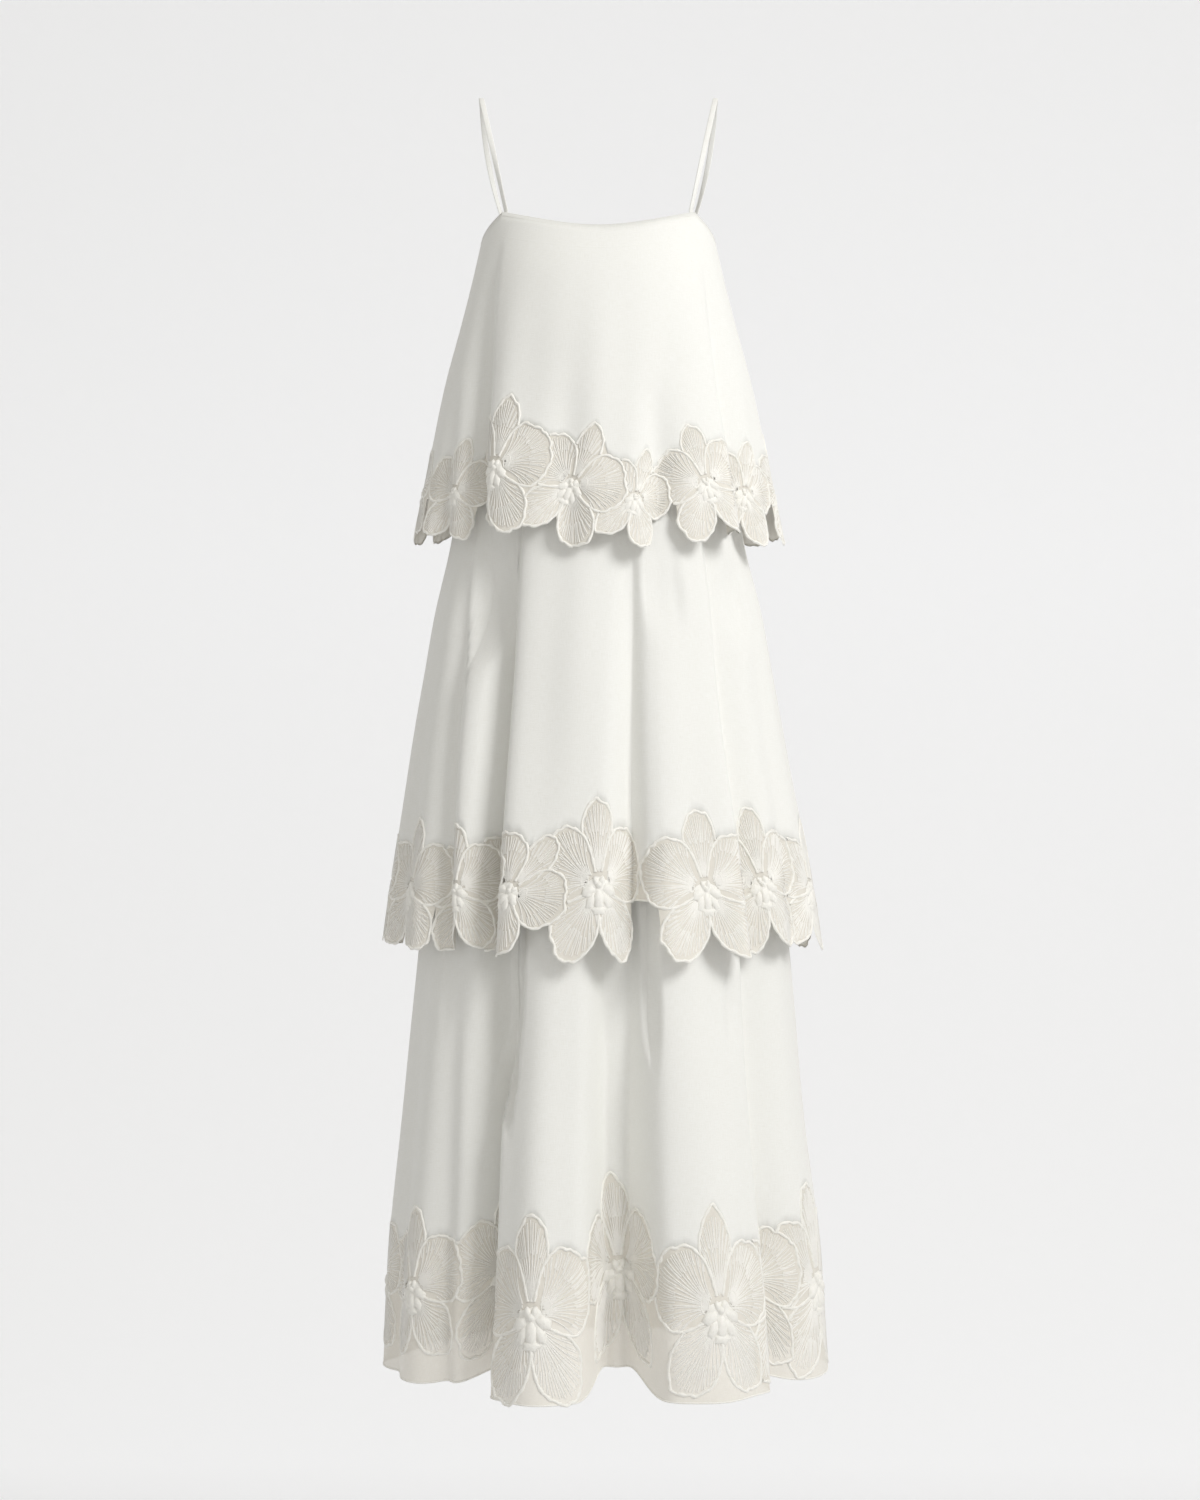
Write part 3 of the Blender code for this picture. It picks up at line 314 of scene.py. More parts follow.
TOP_FLOWERS = rows(
    Flower,
    (-90, -0.442, 0.062, 0.9, 12, 0), (-63.5, -0.448, 0.058, 0.9, -8), (-42, -0.425, 0.079, 0.9, -8),
    (-11.5, -0.446, 0.071, 0.9, -25), (15, -0.461, 0.056, 0.85, -20, 0), (43, -0.443, 0.067, 0.95, 14),
    (66, -0.449, 0.06, 0.9, -14), (91, -0.44, 0.066, 0.95, 8, 0), (117, -0.447, 0.064, 0.95, -12),
    (141, -0.436, 0.076, 0.9, 16), (166, -0.447, 0.064, 0.95, -10, 0), (-170, -0.441, 0.072, 0.9, 10),
    (-143, -0.446, 0.068, 0.95, -18), (-116, -0.44, 0.07, 0.95, 10),
)
MIDDLE_FLOWERS = rows(
    Flower,
    (-93, -0.878, 0.078, 0.9, 8, 0), (-70, -0.88, 0.076, 0.9, -3, 0), (-51, -0.88, 0.074, 0.9, 6, 0),
    (-38.5, -0.874, 0.08, 0.8, 0, 0), (-29.5, -0.878, 0.076, 0.85, -42), (-1, -0.872, 0.094, 0.8, 0),
    (34, -0.877, 0.086, 0.98, 3), (57.5, -0.874, 0.084, 0.85, 6), (80, -0.882, 0.076, 0.95, -10, 0),
    (106, -0.876, 0.084, 0.9, 10), (132, -0.88, 0.082, 0.95, -9), (157, -0.873, 0.092, 0.9, 6),
    (-176, -0.881, 0.078, 0.9, -12, 0), (-148, -0.875, 0.09, 0.9, 10), (-120, -0.88, 0.082, 0.95, -8),
)
BOTTOM_FLOWERS = rows(
    Flower,
    (-93, -1.318, 0.092, 0.8, 6, 0), (-66, -1.314, 0.088, 0.85, 4, 0), (-45, -1.312, 0.1, 0.8, -4, 0),
    (-21.5, -1.324, 0.108, 0.76, 2), (6.5, -1.304, 0.112, 0.76, 4), (33, -1.32, 0.106, 0.8, 0),
    (55, -1.318, 0.1, 0.78, 3, 0), (76, -1.314, 0.112, 0.78, 2), (104, -1.322, 0.098, 0.82, -6, 0),
    (129, -1.31, 0.112, 0.8, 4), (154, -1.322, 0.104, 0.82, -5), (-178, -1.31, 0.108, 0.8, 3),
    (-148, -1.322, 0.106, 0.82, -4), (-120, -1.312, 0.108, 0.8, 5),
)
PETALS = rows(
    Petal,
    (90, 1, 30, 0.45, 0.13), (25, 0.92, 50, 0.24, 0.03), (155, 0.92, 50, 0.24, 0.03),
    (-55, 0.98, 37, 0.38, 0.1), (-125, 0.98, 37, 0.38, 0.1),
)

# Angle and height of the neckline's corners, where the straps land, and how far it dips between them.
FRONT_CORNER, FRONT_HEIGHT, BACK_CORNER, BACK_HEIGHT = 62.0, -0.137, 116.0, -0.139
FRONT_DIP, BACK_DIP, ARM_DIP = 0.021, 0.011, 0.023
# How a fold grows on its way down: the power, how soon it sets in and where it stops.
GROWTH_POWER, GROWTH_ONSET, GROWTH_LIMIT = 1.15, 4.0, 1.15
# The ripples' waves: share, waves round the dress, turning down it and shift.
RIPPLES = ((1.0, 9, 5.0, 1), (0.7, 17, -8.0, 2), (0.45, 4, 26.0, 1))
# The drop that they set in over, and how far the height of a tier's hem shifts them.
RIPPLE_ONSET, RIPPLE_SHIFT = 0.20, 7.0
# Their size at the shoulders, and what they gain down to the hem.
RIPPLE_LEAST, RIPPLE_GAIN = 0.35, 0.65
# An inner tier's air to the one over it: at the seam, hanging, and the drop from the one to the other.
SEAM_AIR, HANGING_AIR, PARTING_DROP, ROUNDING = 0.0003, 0.003, 0.030, 0.004
# An inner tier keeps clear of the folds over it this many degrees to both sides.
CLEAR_TURNS = np.arange(-6.0, 6.5)
# It is let out again under the hem over it: how far, from how far above that hem, and over what drop.
RELEASE, RELEASE_LEAD, RELEASE_DROP = 0.20, 0.050, 0.40
# A hem is drawn up in full in folds this deep, from this far above it and over this drop.
LIFT_DEPTH, LIFT_LEAD, LIFT_DROP = 0.075, 0.32, 0.30


@dataclass(frozen=True)
class Tier:
    """One tier of the dress: its shape, its flat plan and the room it keeps inside the tier over it.

    The reach is the plain outline, a squared-off ellipse, plus the sum of the folds. Each fold is a bell
    across and grows from its start down to the hem. A tier under another is held inside it down to its hem,
    by its wall and its slack, and is sewn in at its seam. Its border's band runs from band_top over the
    flower row to band_bottom under it, or to the hem. The lift draws its hem up in the folds.
    """

    name: str
    sections: tuple[Section, ...]
    folds: tuple[Fold, ...]
    flowers: tuple[Flower, ...]
    hem: float
    row_height: float
    columns: int
    rows: int
    band_top: float = 0.008
    band_bottom: float | None = 0.008
    slack: float = 0.0
    seam: float | None = None
    over: "Tier | None" = None
    wall: float = 0.0014
    ripple: float = 0.0011
    lift: float = 0.0

    def read(self, word: str, height: Array) -> Array:
        """One named column of the sections' table, read at the heights."""
        heights = [section.height for section in self.sections]
        return smooth_table(height, heights, [getattr(section, word) for section in self.sections])

    def plain_reach(self, angle: Array, height: Array) -> Array:
        """Distance to the plain outline: (|sin|/w)^p + (|cos|/d)^p, to the power -1/p."""
        half_width, power = self.read("half_width", height), self.read("squareness", height)
        sine, cosine = np.abs(np.sin(np.radians(angle))), np.cos(np.radians(angle))
        depth = np.where(cosine > 0, self.read("front_depth", height), self.read("back_depth", height))
        return ((sine / half_width) ** power + (np.abs(cosine) / depth) ** power) ** (-1.0 / power)

    def fold_relief(self, angle: Array, height: Array) -> Array:
        """Sum over the folds of depth, growth and a bell of the angle away from the fold's line."""
        relief = np.zeros(np.broadcast(angle, height).shape)
        for fold in self.folds:
            grown = np.clip((fold.start - height) / (fold.start - self.hem), 0.0, GROWTH_LIMIT)
            growth = grown**GROWTH_POWER * smooth_step(grown * GROWTH_ONSET)
            shift = (fold.top_angle - fold.hem_angle) * (1.0 - np.clip(grown, 0.0, 1.0))
            away = wrapped(angle - fold.hem_angle - shift)
            width = np.where(away < 0, fold.left_width, fold.right_width)
            relief = relief + fold.depth * growth * np.exp(-((away / width) ** 2))
        return relief

    def ripples(self, angle: Array, height: Array) -> Array:
        """Soft uneven waves of the cloth: slow sines of angle and height that grow to the hem."""
        turn, phase = np.radians(angle), RIPPLE_SHIFT * self.hem
        waves = sum(r * np.sin(n * turn + down * height + shift * phase) for r, n, down, shift in RIPPLES)
        grown = smooth_step((self.top_edge(angle) - height) / RIPPLE_ONSET)
        gain = RIPPLE_LEAST + RIPPLE_GAIN * smooth_step(height / self.hem)
        return self.ripple * waves * grown * gain

    def reach(self, angle: Array, height: Array) -> Array:
        """The plain outline, folds and ripples, kept inside the outer tier by the wall and some room."""
        own = self.plain_reach(angle, height) + self.fold_relief(angle, height) + self.ripples(angle, height)
        if self.over is None:
            return own
        below = smooth_step((self.top_edge(angle) - height) / PARTING_DROP)
        room = self.wall + SEAM_AIR + self.slack + HANGING_AIR * below
        release = RELEASE * smooth_step((self.over.hem - RELEASE_LEAD - height) / RELEASE_DROP)
        beside = [self.over.fold_relief(angle + turn, height) for turn in CLEAR_TURNS]
        clear = self.over.plain_reach(angle, height) + np.minimum.reduce(beside)
        clear = clear + self.over.ripples(angle, height)
        limit = np.minimum(self.over.reach(angle, height), clear) - room + release
        return smooth_min(own, limit, ROUNDING * below + 1e-6)

    def hem_lift(self, angle: Array, height: Array) -> Array:
        """How far the cloth is drawn up near the hem: most in the deepest folds, none on the crests."""
        if not self.lift:
            return np.zeros(height.shape)
        deep = smooth_step(-self.fold_relief(angle, np.full(height.shape, self.hem)) / LIFT_DEPTH)
        return self.lift * deep * smooth_step((self.hem + LIFT_LEAD - height) / LIFT_DROP)

    def surface(self, angle: Array, height: Array) -> Array:
        """Points of the cloth: the reach along the angle's direction, at the height."""
        angle, height = np.broadcast_arrays(np.asarray(angle, float), np.asarray(height, float))
        distance = self.reach(angle, height)
        x = distance * np.sin(np.radians(angle)) + self.read("sway", height)
        y = -distance * np.cos(np.radians(angle))
        return np.stack([x, y, height + self.hem_lift(angle, height)], axis=-1)

    def top_edge(self, angle: Array) -> Array:
        """Height of the top edge: the level seam, or the neckline with its dips and arm scoops."""
        if self.seam is not None:
            return np.full(np.shape(angle), self.seam)
        side = np.abs(wrapped(angle))
        front = FRONT_HEIGHT - FRONT_DIP * np.cos(np.radians(90.0 * side / FRONT_CORNER))
        along = np.clip((side - FRONT_CORNER) / (BACK_CORNER - FRONT_CORNER), 0.0, 1.0)
        arm = FRONT_HEIGHT + (BACK_HEIGHT - FRONT_HEIGHT) * along - ARM_DIP * np.sin(np.pi * along)
        back = BACK_HEIGHT - BACK_DIP * np.cos(np.radians(90.0 * (180.0 - side) / (180.0 - BACK_CORNER)))
        return np.where(side <= FRONT_CORNER, front, np.where(side <= BACK_CORNER, arm, back))


TOP_TIER = Tier(
    "top", TOP_SECTIONS, TOP_FOLDS, TOP_FLOWERS, hem=-0.490, row_height=-0.445, columns=210, rows=26,
    band_top=0.006, band_bottom=0.006,
)
MIDDLE_TIER = Tier(
    "middle", MIDDLE_SECTIONS, MIDDLE_FOLDS, MIDDLE_FLOWERS, hem=-0.938, row_height=-0.880, columns=250,
    rows=50, slack=0.0003, over=TOP_TIER,
)
BOTTOM_TIER = Tier(
    "bottom", BOTTOM_SECTIONS, BOTTOM_FOLDS, BOTTOM_FLOWERS, hem=-1.414, row_height=-1.318, columns=270,
    rows=58, band_bottom=None, slack=0.0045, seam=-0.565, over=MIDDLE_TIER, lift=0.022,
)

# The angles that a plan is walked at.
PLAN_ANGLES = np.linspace(-200.0, 400.0, 3601)
# A panel's columns are spaced by length plus turning: this much of either counts as one.
COLUMN_RUN, COLUMN_TURN = 0.0045, 6.0
# Each half stops this far short of its side seams.
SEAM_GAP = 0.00015
# Steps along the run and up the height that give the cloth's outward direction.
RUN_STEP, HEIGHT_STEP = 0.0015, 0.003
# An orchid may reach into a half from this far outside it.
REACH_IN = 0.13


class Plan:
    """A tier's flat plan: how far along the folded cloth each angle lies, measured at the flower row."""

    def __init__(self, tier: Tier) -> None:
        """Walk round the cloth at the flower row, with some way to spare at both ends.

        Args:
            tier: The tier to lay flat.
        """
        self.tier = tier
        self.angles = PLAN_ANGLES
        points = tier.surface(self.angles, tier.row_height)[:, :2]
        run = walked(points)
        self.runs = run - np.interp(0.0, self.angles, run)
        ahead = np.diff(points, axis=0)
        heading = np.degrees(np.unwrap(np.arctan2(ahead[:, 1], ahead[:, 0])))
        turning = np.concatenate([[0.0], np.cumsum(np.abs(np.diff(heading, prepend=heading[0])))])
        self.weights = self.runs / COLUMN_RUN + turning / COLUMN_TURN

    def run_at(self, angle: Array) -> Array:
        """How far along the cloth an angle lies."""
        return np.interp(angle, self.angles, self.runs)

    def angle_at(self, run: Array) -> Array:
        """The angle that lies this far along the cloth."""
        return np.interp(run, self.runs, self.angles)

    def columns(self, half: Half, count: int) -> Array:
        """Runs of a half's columns, in even steps of length plus turning."""
        ends = np.interp([half.start, half.end], self.angles, self.weights)
        runs = np.interp(np.linspace(ends[0], ends[1], count), self.weights, self.runs)
        runs[0] += SEAM_GAP
        runs[-1] -= SEAM_GAP
        return runs

    def lay(self, flat: Array) -> Array:
        """Lay points of the plan on the cloth.

        Args:
            flat: Rows of run, height and how far out of the cloth the point stands.

        Returns:
            The points, moved out along the cross product of a step along the run and one up the height.
        """
        angle = self.angle_at(flat[:, 0])
        here = self.tier.surface(angle, flat[:, 1])
        ahead = self.tier.surface(self.angle_at(flat[:, 0] + RUN_STEP), flat[:, 1])
        above = self.tier.surface(angle, flat[:, 1] + HEIGHT_STEP)
        return here + unit(np.cross(ahead - here, above - here)) * flat[:, 2:3]

    def flowers(self, half: Half, margin: float = 0.0) -> list[tuple[Flower, Array]]:
        """The flowers centred in a half, or up to a margin outside it, with their centres in the plan."""
        left, right = self.run_at(half.start) - margin, self.run_at(half.end) + margin
        placed = [(f, float(self.run_at(f.angle + turn))) for f in self.tier.flowers for turn in (0.0, 360.0)]
        return [(f, np.array([run, f.height])) for f, run in placed if left <= run < right]


# An orchid's heart as a share of its size, and the directions that its outline is read in.
HEART_REACH, OUTLINE_DIRECTIONS = 0.46, np.arange(63.0, 423.0, 1.5)
# The ragged edge's waves: how many go round an orchid, and how large they are.
RAGGED_WAVES = ((8.0, 0.018), (13.0, 0.014), (23.0, 0.011), (41.0, 0.008), (67.0, 0.005))


def petal_reach(petal: Petal, direction: Array) -> Array:
    """Distance to a petal's edge: cos^roundness of the angle off its axis, drawn in towards the point."""
    away = np.clip(np.abs(wrapped(direction - petal.direction)) / petal.spread, 0.0, 1.0)
    return petal.reach * np.cos(np.pi / 2 * away) ** petal.roundness * (1.0 - petal.point * away)


def ragged(flower: Flower, direction: Array) -> Array:
    """How much each direction's distance is stretched: one plus sines that differ by flower."""
    turn = np.radians(direction)
    return 1.0 + sum(size * np.sin(turn * n + flower.angle * (1.0 + n / 7.0)) for n, size in RAGGED_WAVES)


def to_plan(flower: Flower, centre: Array, points: Array) -> Array:
    """Turn points of an orchid of size 1 by its tilt, give them its size and move them to its centre."""
    return centre + turned(flower.size * points, flower.tilt)


def around(flower: Flower, centre: Array, direction: Array, distance: Array) -> Array:
    """Points of the plan in directions from an orchid's centre, at distances in shares of its size."""
    turn = np.radians(direction)
    points = np.stack([distance * np.cos(turn) * flower.aspect, distance * np.sin(turn)], axis=-1)
    return to_plan(flower, centre, points)


def orchid_outline(flower: Flower, centre: Array, grow: float = 0.0) -> Array:
    """The closed outline of an orchid in the plan: the longest petal in each direction, grown a little."""
    petals = [petal_reach(petal, OUTLINE_DIRECTIONS) for petal in PETALS]
    distance = np.maximum(HEART_REACH, np.maximum.reduce(petals)) * ragged(flower, OUTLINE_DIRECTIONS)
    return around(flower, centre, OUTLINE_DIRECTIONS, distance * (1.0 + grow / flower.size))


# ---- Meshes ----

# Angles across a strand: the rounded arch of a cord and the low one of a fine thread.
CORD, THREAD = np.radians([0.0, 45.0, 90.0, 135.0, 180.0]), np.radians([0.0, 90.0, 180.0])
# A stitched pad's rings, as shares of its half size, and the directions of its points.
PAD_RADII = np.array([[0.02], [0.28], [0.52], [0.74], [0.90], [1.0]])
PAD_RING = np.linspace(0.0, 2 * np.pi, 19)
# The crease along a pad's middle, as shares of its height and its half width.
CREASE_DEPTH, CREASE_WIDTH = 0.22, 0.25


@dataclass
class Pieces:
    """Collects parts of one mesh in the plan: points with their height out of the cloth, quads and UVs."""

    plan: Plan
    flat: list[Array] = field(default_factory=list)
    quads: list[Quads] = field(default_factory=list)
    uvs: list[Array] = field(default_factory=list)
    count: int = 0

    def add(self, flat: Array, quads: Quads, uv: Array) -> None:
        """Add points, their quads and their UVs."""
        self.flat.append(flat.reshape(-1, 3))
        self.quads.append(quads + self.count)
        self.uvs.append(uv.reshape(-1, 2))
        self.count += len(self.flat[-1])

    def strands(
        self, paths: Array, width: Array, height: Array, base: float, arch: Array = THREAD, shown: Mask = True
    ) -> None:
        """Add raised strands: an arch across each path, w/2 cos(t) sideways and h sin(t) out.

        Args:
            paths: Strands by points by run and height, or the points of one strand.
            width: Their width, one value or one for each point.
            height: Their height, likewise.
            base: How far out of the cloth their feet stand.
            arch: The angles t.
            shown: True for the points that show.
        """
        paths = paths.reshape(-1, *paths.shape[-2:])
        count, across = paths.shape[1], len(arch)
        width = np.broadcast_to(width, paths.shape[:2])[..., None]
        height = np.broadcast_to(height, paths.shape[:2])[..., None]
        shown = np.broadcast_to(shown, paths.shape[:2])
        ahead = unit(np.gradient(paths, axis=1))
        side = np.stack([ahead[..., 1], -ahead[..., 0]], axis=-1)
        flat = np.empty((*paths.shape[:2], across, 3))
        flat[..., :2] = paths[:, :, None, :] + (width / 2 * np.cos(arch))[..., None] * side[:, :, None, :]
        flat[..., 2] = base + height * np.sin(arch)
        uv = np.empty((*paths.shape[:2], across, 2))
        uv[..., 0] = walked(paths)[..., None]
        uv[..., 1] = width * np.linspace(0.0, 1.0, across)
        one = grid_quads(count, across)[:, ::-1]
        quads = one + (np.arange(len(paths)) * count * across)[:, None, None]
        step = one.min(axis=1) // across
        self.add(flat, quads[shown[:, step] & shown[:, np.minimum(step + 1, count - 1)]], uv)

    def pad(self, centre: Array, half: Array, turn: float, height: float, base: float, ruffle: float) -> None:
        """Add a stitched pad: an ellipse with a ruffled edge, h (1 - r^2)^0.6 high, creased along its middle.

        Args:
            centre: Its middle in the plan.
            half: Its half sizes.
            turn: Its turn.
            height: Its height.
            base: How far out of the cloth it stands.
            ruffle: How much its edge waves.
        """
        edge = PAD_RADII * (1.0 + ruffle * np.sin(5 * PAD_RING + centre[0] * 90.0) * PAD_RADII**2)
        oval = np.stack([half[0] * edge * np.cos(PAD_RING), half[1] * edge * np.sin(PAD_RING)], axis=-1)
        crease = 1.0 - CREASE_DEPTH * np.exp(-((np.cos(PAD_RING) / CREASE_WIDTH) ** 2)) * PAD_RADII
        flat = np.empty((*edge.shape, 3))
        flat[..., :2] = centre + turned(oval, turn)
        flat[..., 2] = base + height * (1.0 - PAD_RADII**2).clip(0.0) ** 0.6 * crease
        uv = np.empty((*edge.shape, 2))
        uv[..., 0], uv[..., 1] = PAD_RADII * half.max(), PAD_RING * half.min()
        self.add(flat, grid_quads(*edge.shape)[:, ::-1], uv)

    def build(self, name: str, finish: Material) -> Piece:
        """Lay all that was collected on the cloth and make it one piece."""
        points = self.plan.lay(np.vstack(self.flat))
        return make_piece(name, points, np.vstack(self.quads), np.vstack(self.uvs), finish)


def add_to_scene(name: str, data: bpy.types.ID) -> Piece:
    """An object in the scene that holds the data."""
    made = bpy.data.objects.new(name, data)
    bpy.context.scene.collection.objects.link(made)
    return made


def make_piece(name: str, points: Array, quads: Quads, uv: Array, finish: Material) -> Piece:
    """Make a smooth mesh piece that rides on the dress.

    Args:
        name: The piece's name.
        points: Its points.
        quads: Its faces.
        uv: A UV for each point, in metres of cloth.
        finish: Its material.

    Returns:
        The piece, with the points that no face uses left out.
    """
    used, index = np.unique(quads, return_inverse=True)
    quads = index.reshape(quads.shape)
    points, uv = points[used], uv[used]
    mesh = bpy.data.meshes.new(name)
    mesh.from_pydata(points.tolist(), [], quads.tolist())
    layer = mesh.uv_layers.new(name="cloth")
    layer.data.foreach_set("uv", uv[quads.reshape(-1)].astype(np.float32).reshape(-1))
    mesh.materials.append(finish)
    mesh.shade_smooth()
    mesh.update()
    piece = add_to_scene(name, mesh)
    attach(piece, "root")
    log.info("%s: %d faces", name, len(quads))
    return piece


# ---- Finishes ----


class Shader:
    """A new material's node tree, built up node by node."""

    def __init__(self, name: str, inputs: dict[str, Any]) -> None:
        """Begin a material and set its surface's inputs."""
        self.material = bpy.data.materials.new(name)
        self.material.use_nodes = True
        self.surface = self.material.node_tree.nodes["Principled BSDF"]
        self.fill(self.surface, inputs)

    def fill(self, node: bpy.types.Node, inputs: dict[str | int, Any]) -> None:
        """Set a node's inputs by name or number: to a value, or joined to another node's output."""
        for key, value in inputs.items():
            if isinstance(value, bpy.types.NodeSocket):
                self.material.node_tree.links.new(value, node.inputs[key])
            else:
                node.inputs[key].default_value = value

    def add(self, kind: str, inputs: dict[str | int, Any]) -> bpy.types.Node:
        """Add a node of a kind and set its inputs."""
        node = self.material.node_tree.nodes.new(f"ShaderNode{kind}")
        self.fill(node, inputs)
        return node


@dataclass(frozen=True)
class Finish:
    """A cloth finish whose threads follow the piece's own UV map, in metres.

    The scales along and across are those of the threads' noise: the larger, the finer.
    """

    name: str
    colour: Triple
    shade: Triple
    roughness: float
    sheen: float
    along: float
    across: float
    bump: float
    alpha: float = 1.0
    bump_depth: float = 0.0004

    def make(self) -> Material:
        """Build the material: two stretched noises, one for each thread direction, tint and raise it.

        Returns:
            The material.
        """
        surface = {"Roughness": self.roughness, "Sheen Weight": self.sheen, "Sheen Roughness": 0.45}
        shader = Shader(self.name, {**surface, "Specular IOR Level": 0.3, "Alpha": self.alpha})
        cloth = shader.add("UVMap", {})
        cloth.uv_map = "cloth"
        both = shader.add("Math", {})
        both.operation = "ADD"
        for slot, scale in enumerate(((self.along, self.across, 1.0), (self.across, self.along, 1.0))):
            stretch = shader.add("Mapping", {"Vector": cloth.outputs["UV"], "Scale": scale})
            grain = {"Vector": stretch.outputs["Vector"], "Scale": 1.0, "Detail": 3.0, "Roughness": 0.6}
            shader.fill(both, {slot: shader.add("TexNoise", grain).outputs["Fac"]})
        weave = both.outputs["Value"]
        tint = shader.add("MapRange", {"Value": weave, "From Min": 0.75, "From Max": 1.25})
        mix = shader.add("Mix", {})
        mix.data_type = "RGBA"
        shader.fill(mix, {0: tint.outputs["Result"], 6: (*self.shade, 1.0), 7: (*self.colour, 1.0)})
        bump = shader.add("Bump", {"Strength": self.bump, "Distance": self.bump_depth, "Height": weave})
        shader.fill(shader.surface, {"Base Color": mix.outputs[2], "Normal": bump.outputs["Normal"]})
        return shader.material


LINEN = Finish("linen", (0.912, 0.912, 0.885), (0.865, 0.860, 0.822), 0.88, 0.05, 90.0, 1500.0, 0.30)
ORGANZA = Finish("organza", (0.90, 0.868, 0.797), (0.84, 0.80, 0.72), 0.62, 0.20, 160.0, 1800.0, 0.20, 0.86)
SATIN = Finish("satin_thread", (0.97, 0.96, 0.92), (0.89, 0.87, 0.81), 0.40, 0.10, 1300.0, 160.0, 0.55)
VEIN = Finish("vein_thread", (0.97, 0.96, 0.925), (0.91, 0.89, 0.84), 0.48, 0.10, 900.0, 220.0, 0.30)


# ---- The dress's sub-assemblies ----

# Eyelets beside an orchid's heart: place across and up, half width and length, as shares of its size; and
# the least half size. A point of their rim is moved out to five times its distance at most.
EYELETS = ((0.19, 0.10, 0.040, 0.080), (-0.20, 0.06, 0.036, 0.070))
EYELET_LEAST, RIM_NEAREST = 0.0026, 0.2
# Width and height of the cords round eyelets, along a band's upper line and along its lower one.
RIM_CORD, UPPER_CORD, LOWER_CORD = (0.0015, 0.0009), (0.0026, 0.0010), (0.0022, 0.0010)
# Other cords grow with their orchid: width at no size, and what each metre of size adds; likewise the veins.
CORD_WIDTH, VEIN_WIDTH, VEIN_GAP = (0.0020, 0.014), (0.00085, 0.0062), (0.0032, 0.009)
CORD_HEIGHT, CORD_RUFFLE, VEIN_HEIGHT, VEIN_TAPER = 0.0012, 0.0003, 0.0009, (1.10, 0.35)
# An orchid hides what lies under it up to this far outside its own edge.
OVERLAP = 0.0015
# How much larger than its eyelet a stitched rim is, and the directions of its points.
RIM_GROWTH, RIM_RING = np.array([1.15, 1.12]), np.linspace(0.0, 2 * np.pi, 21)


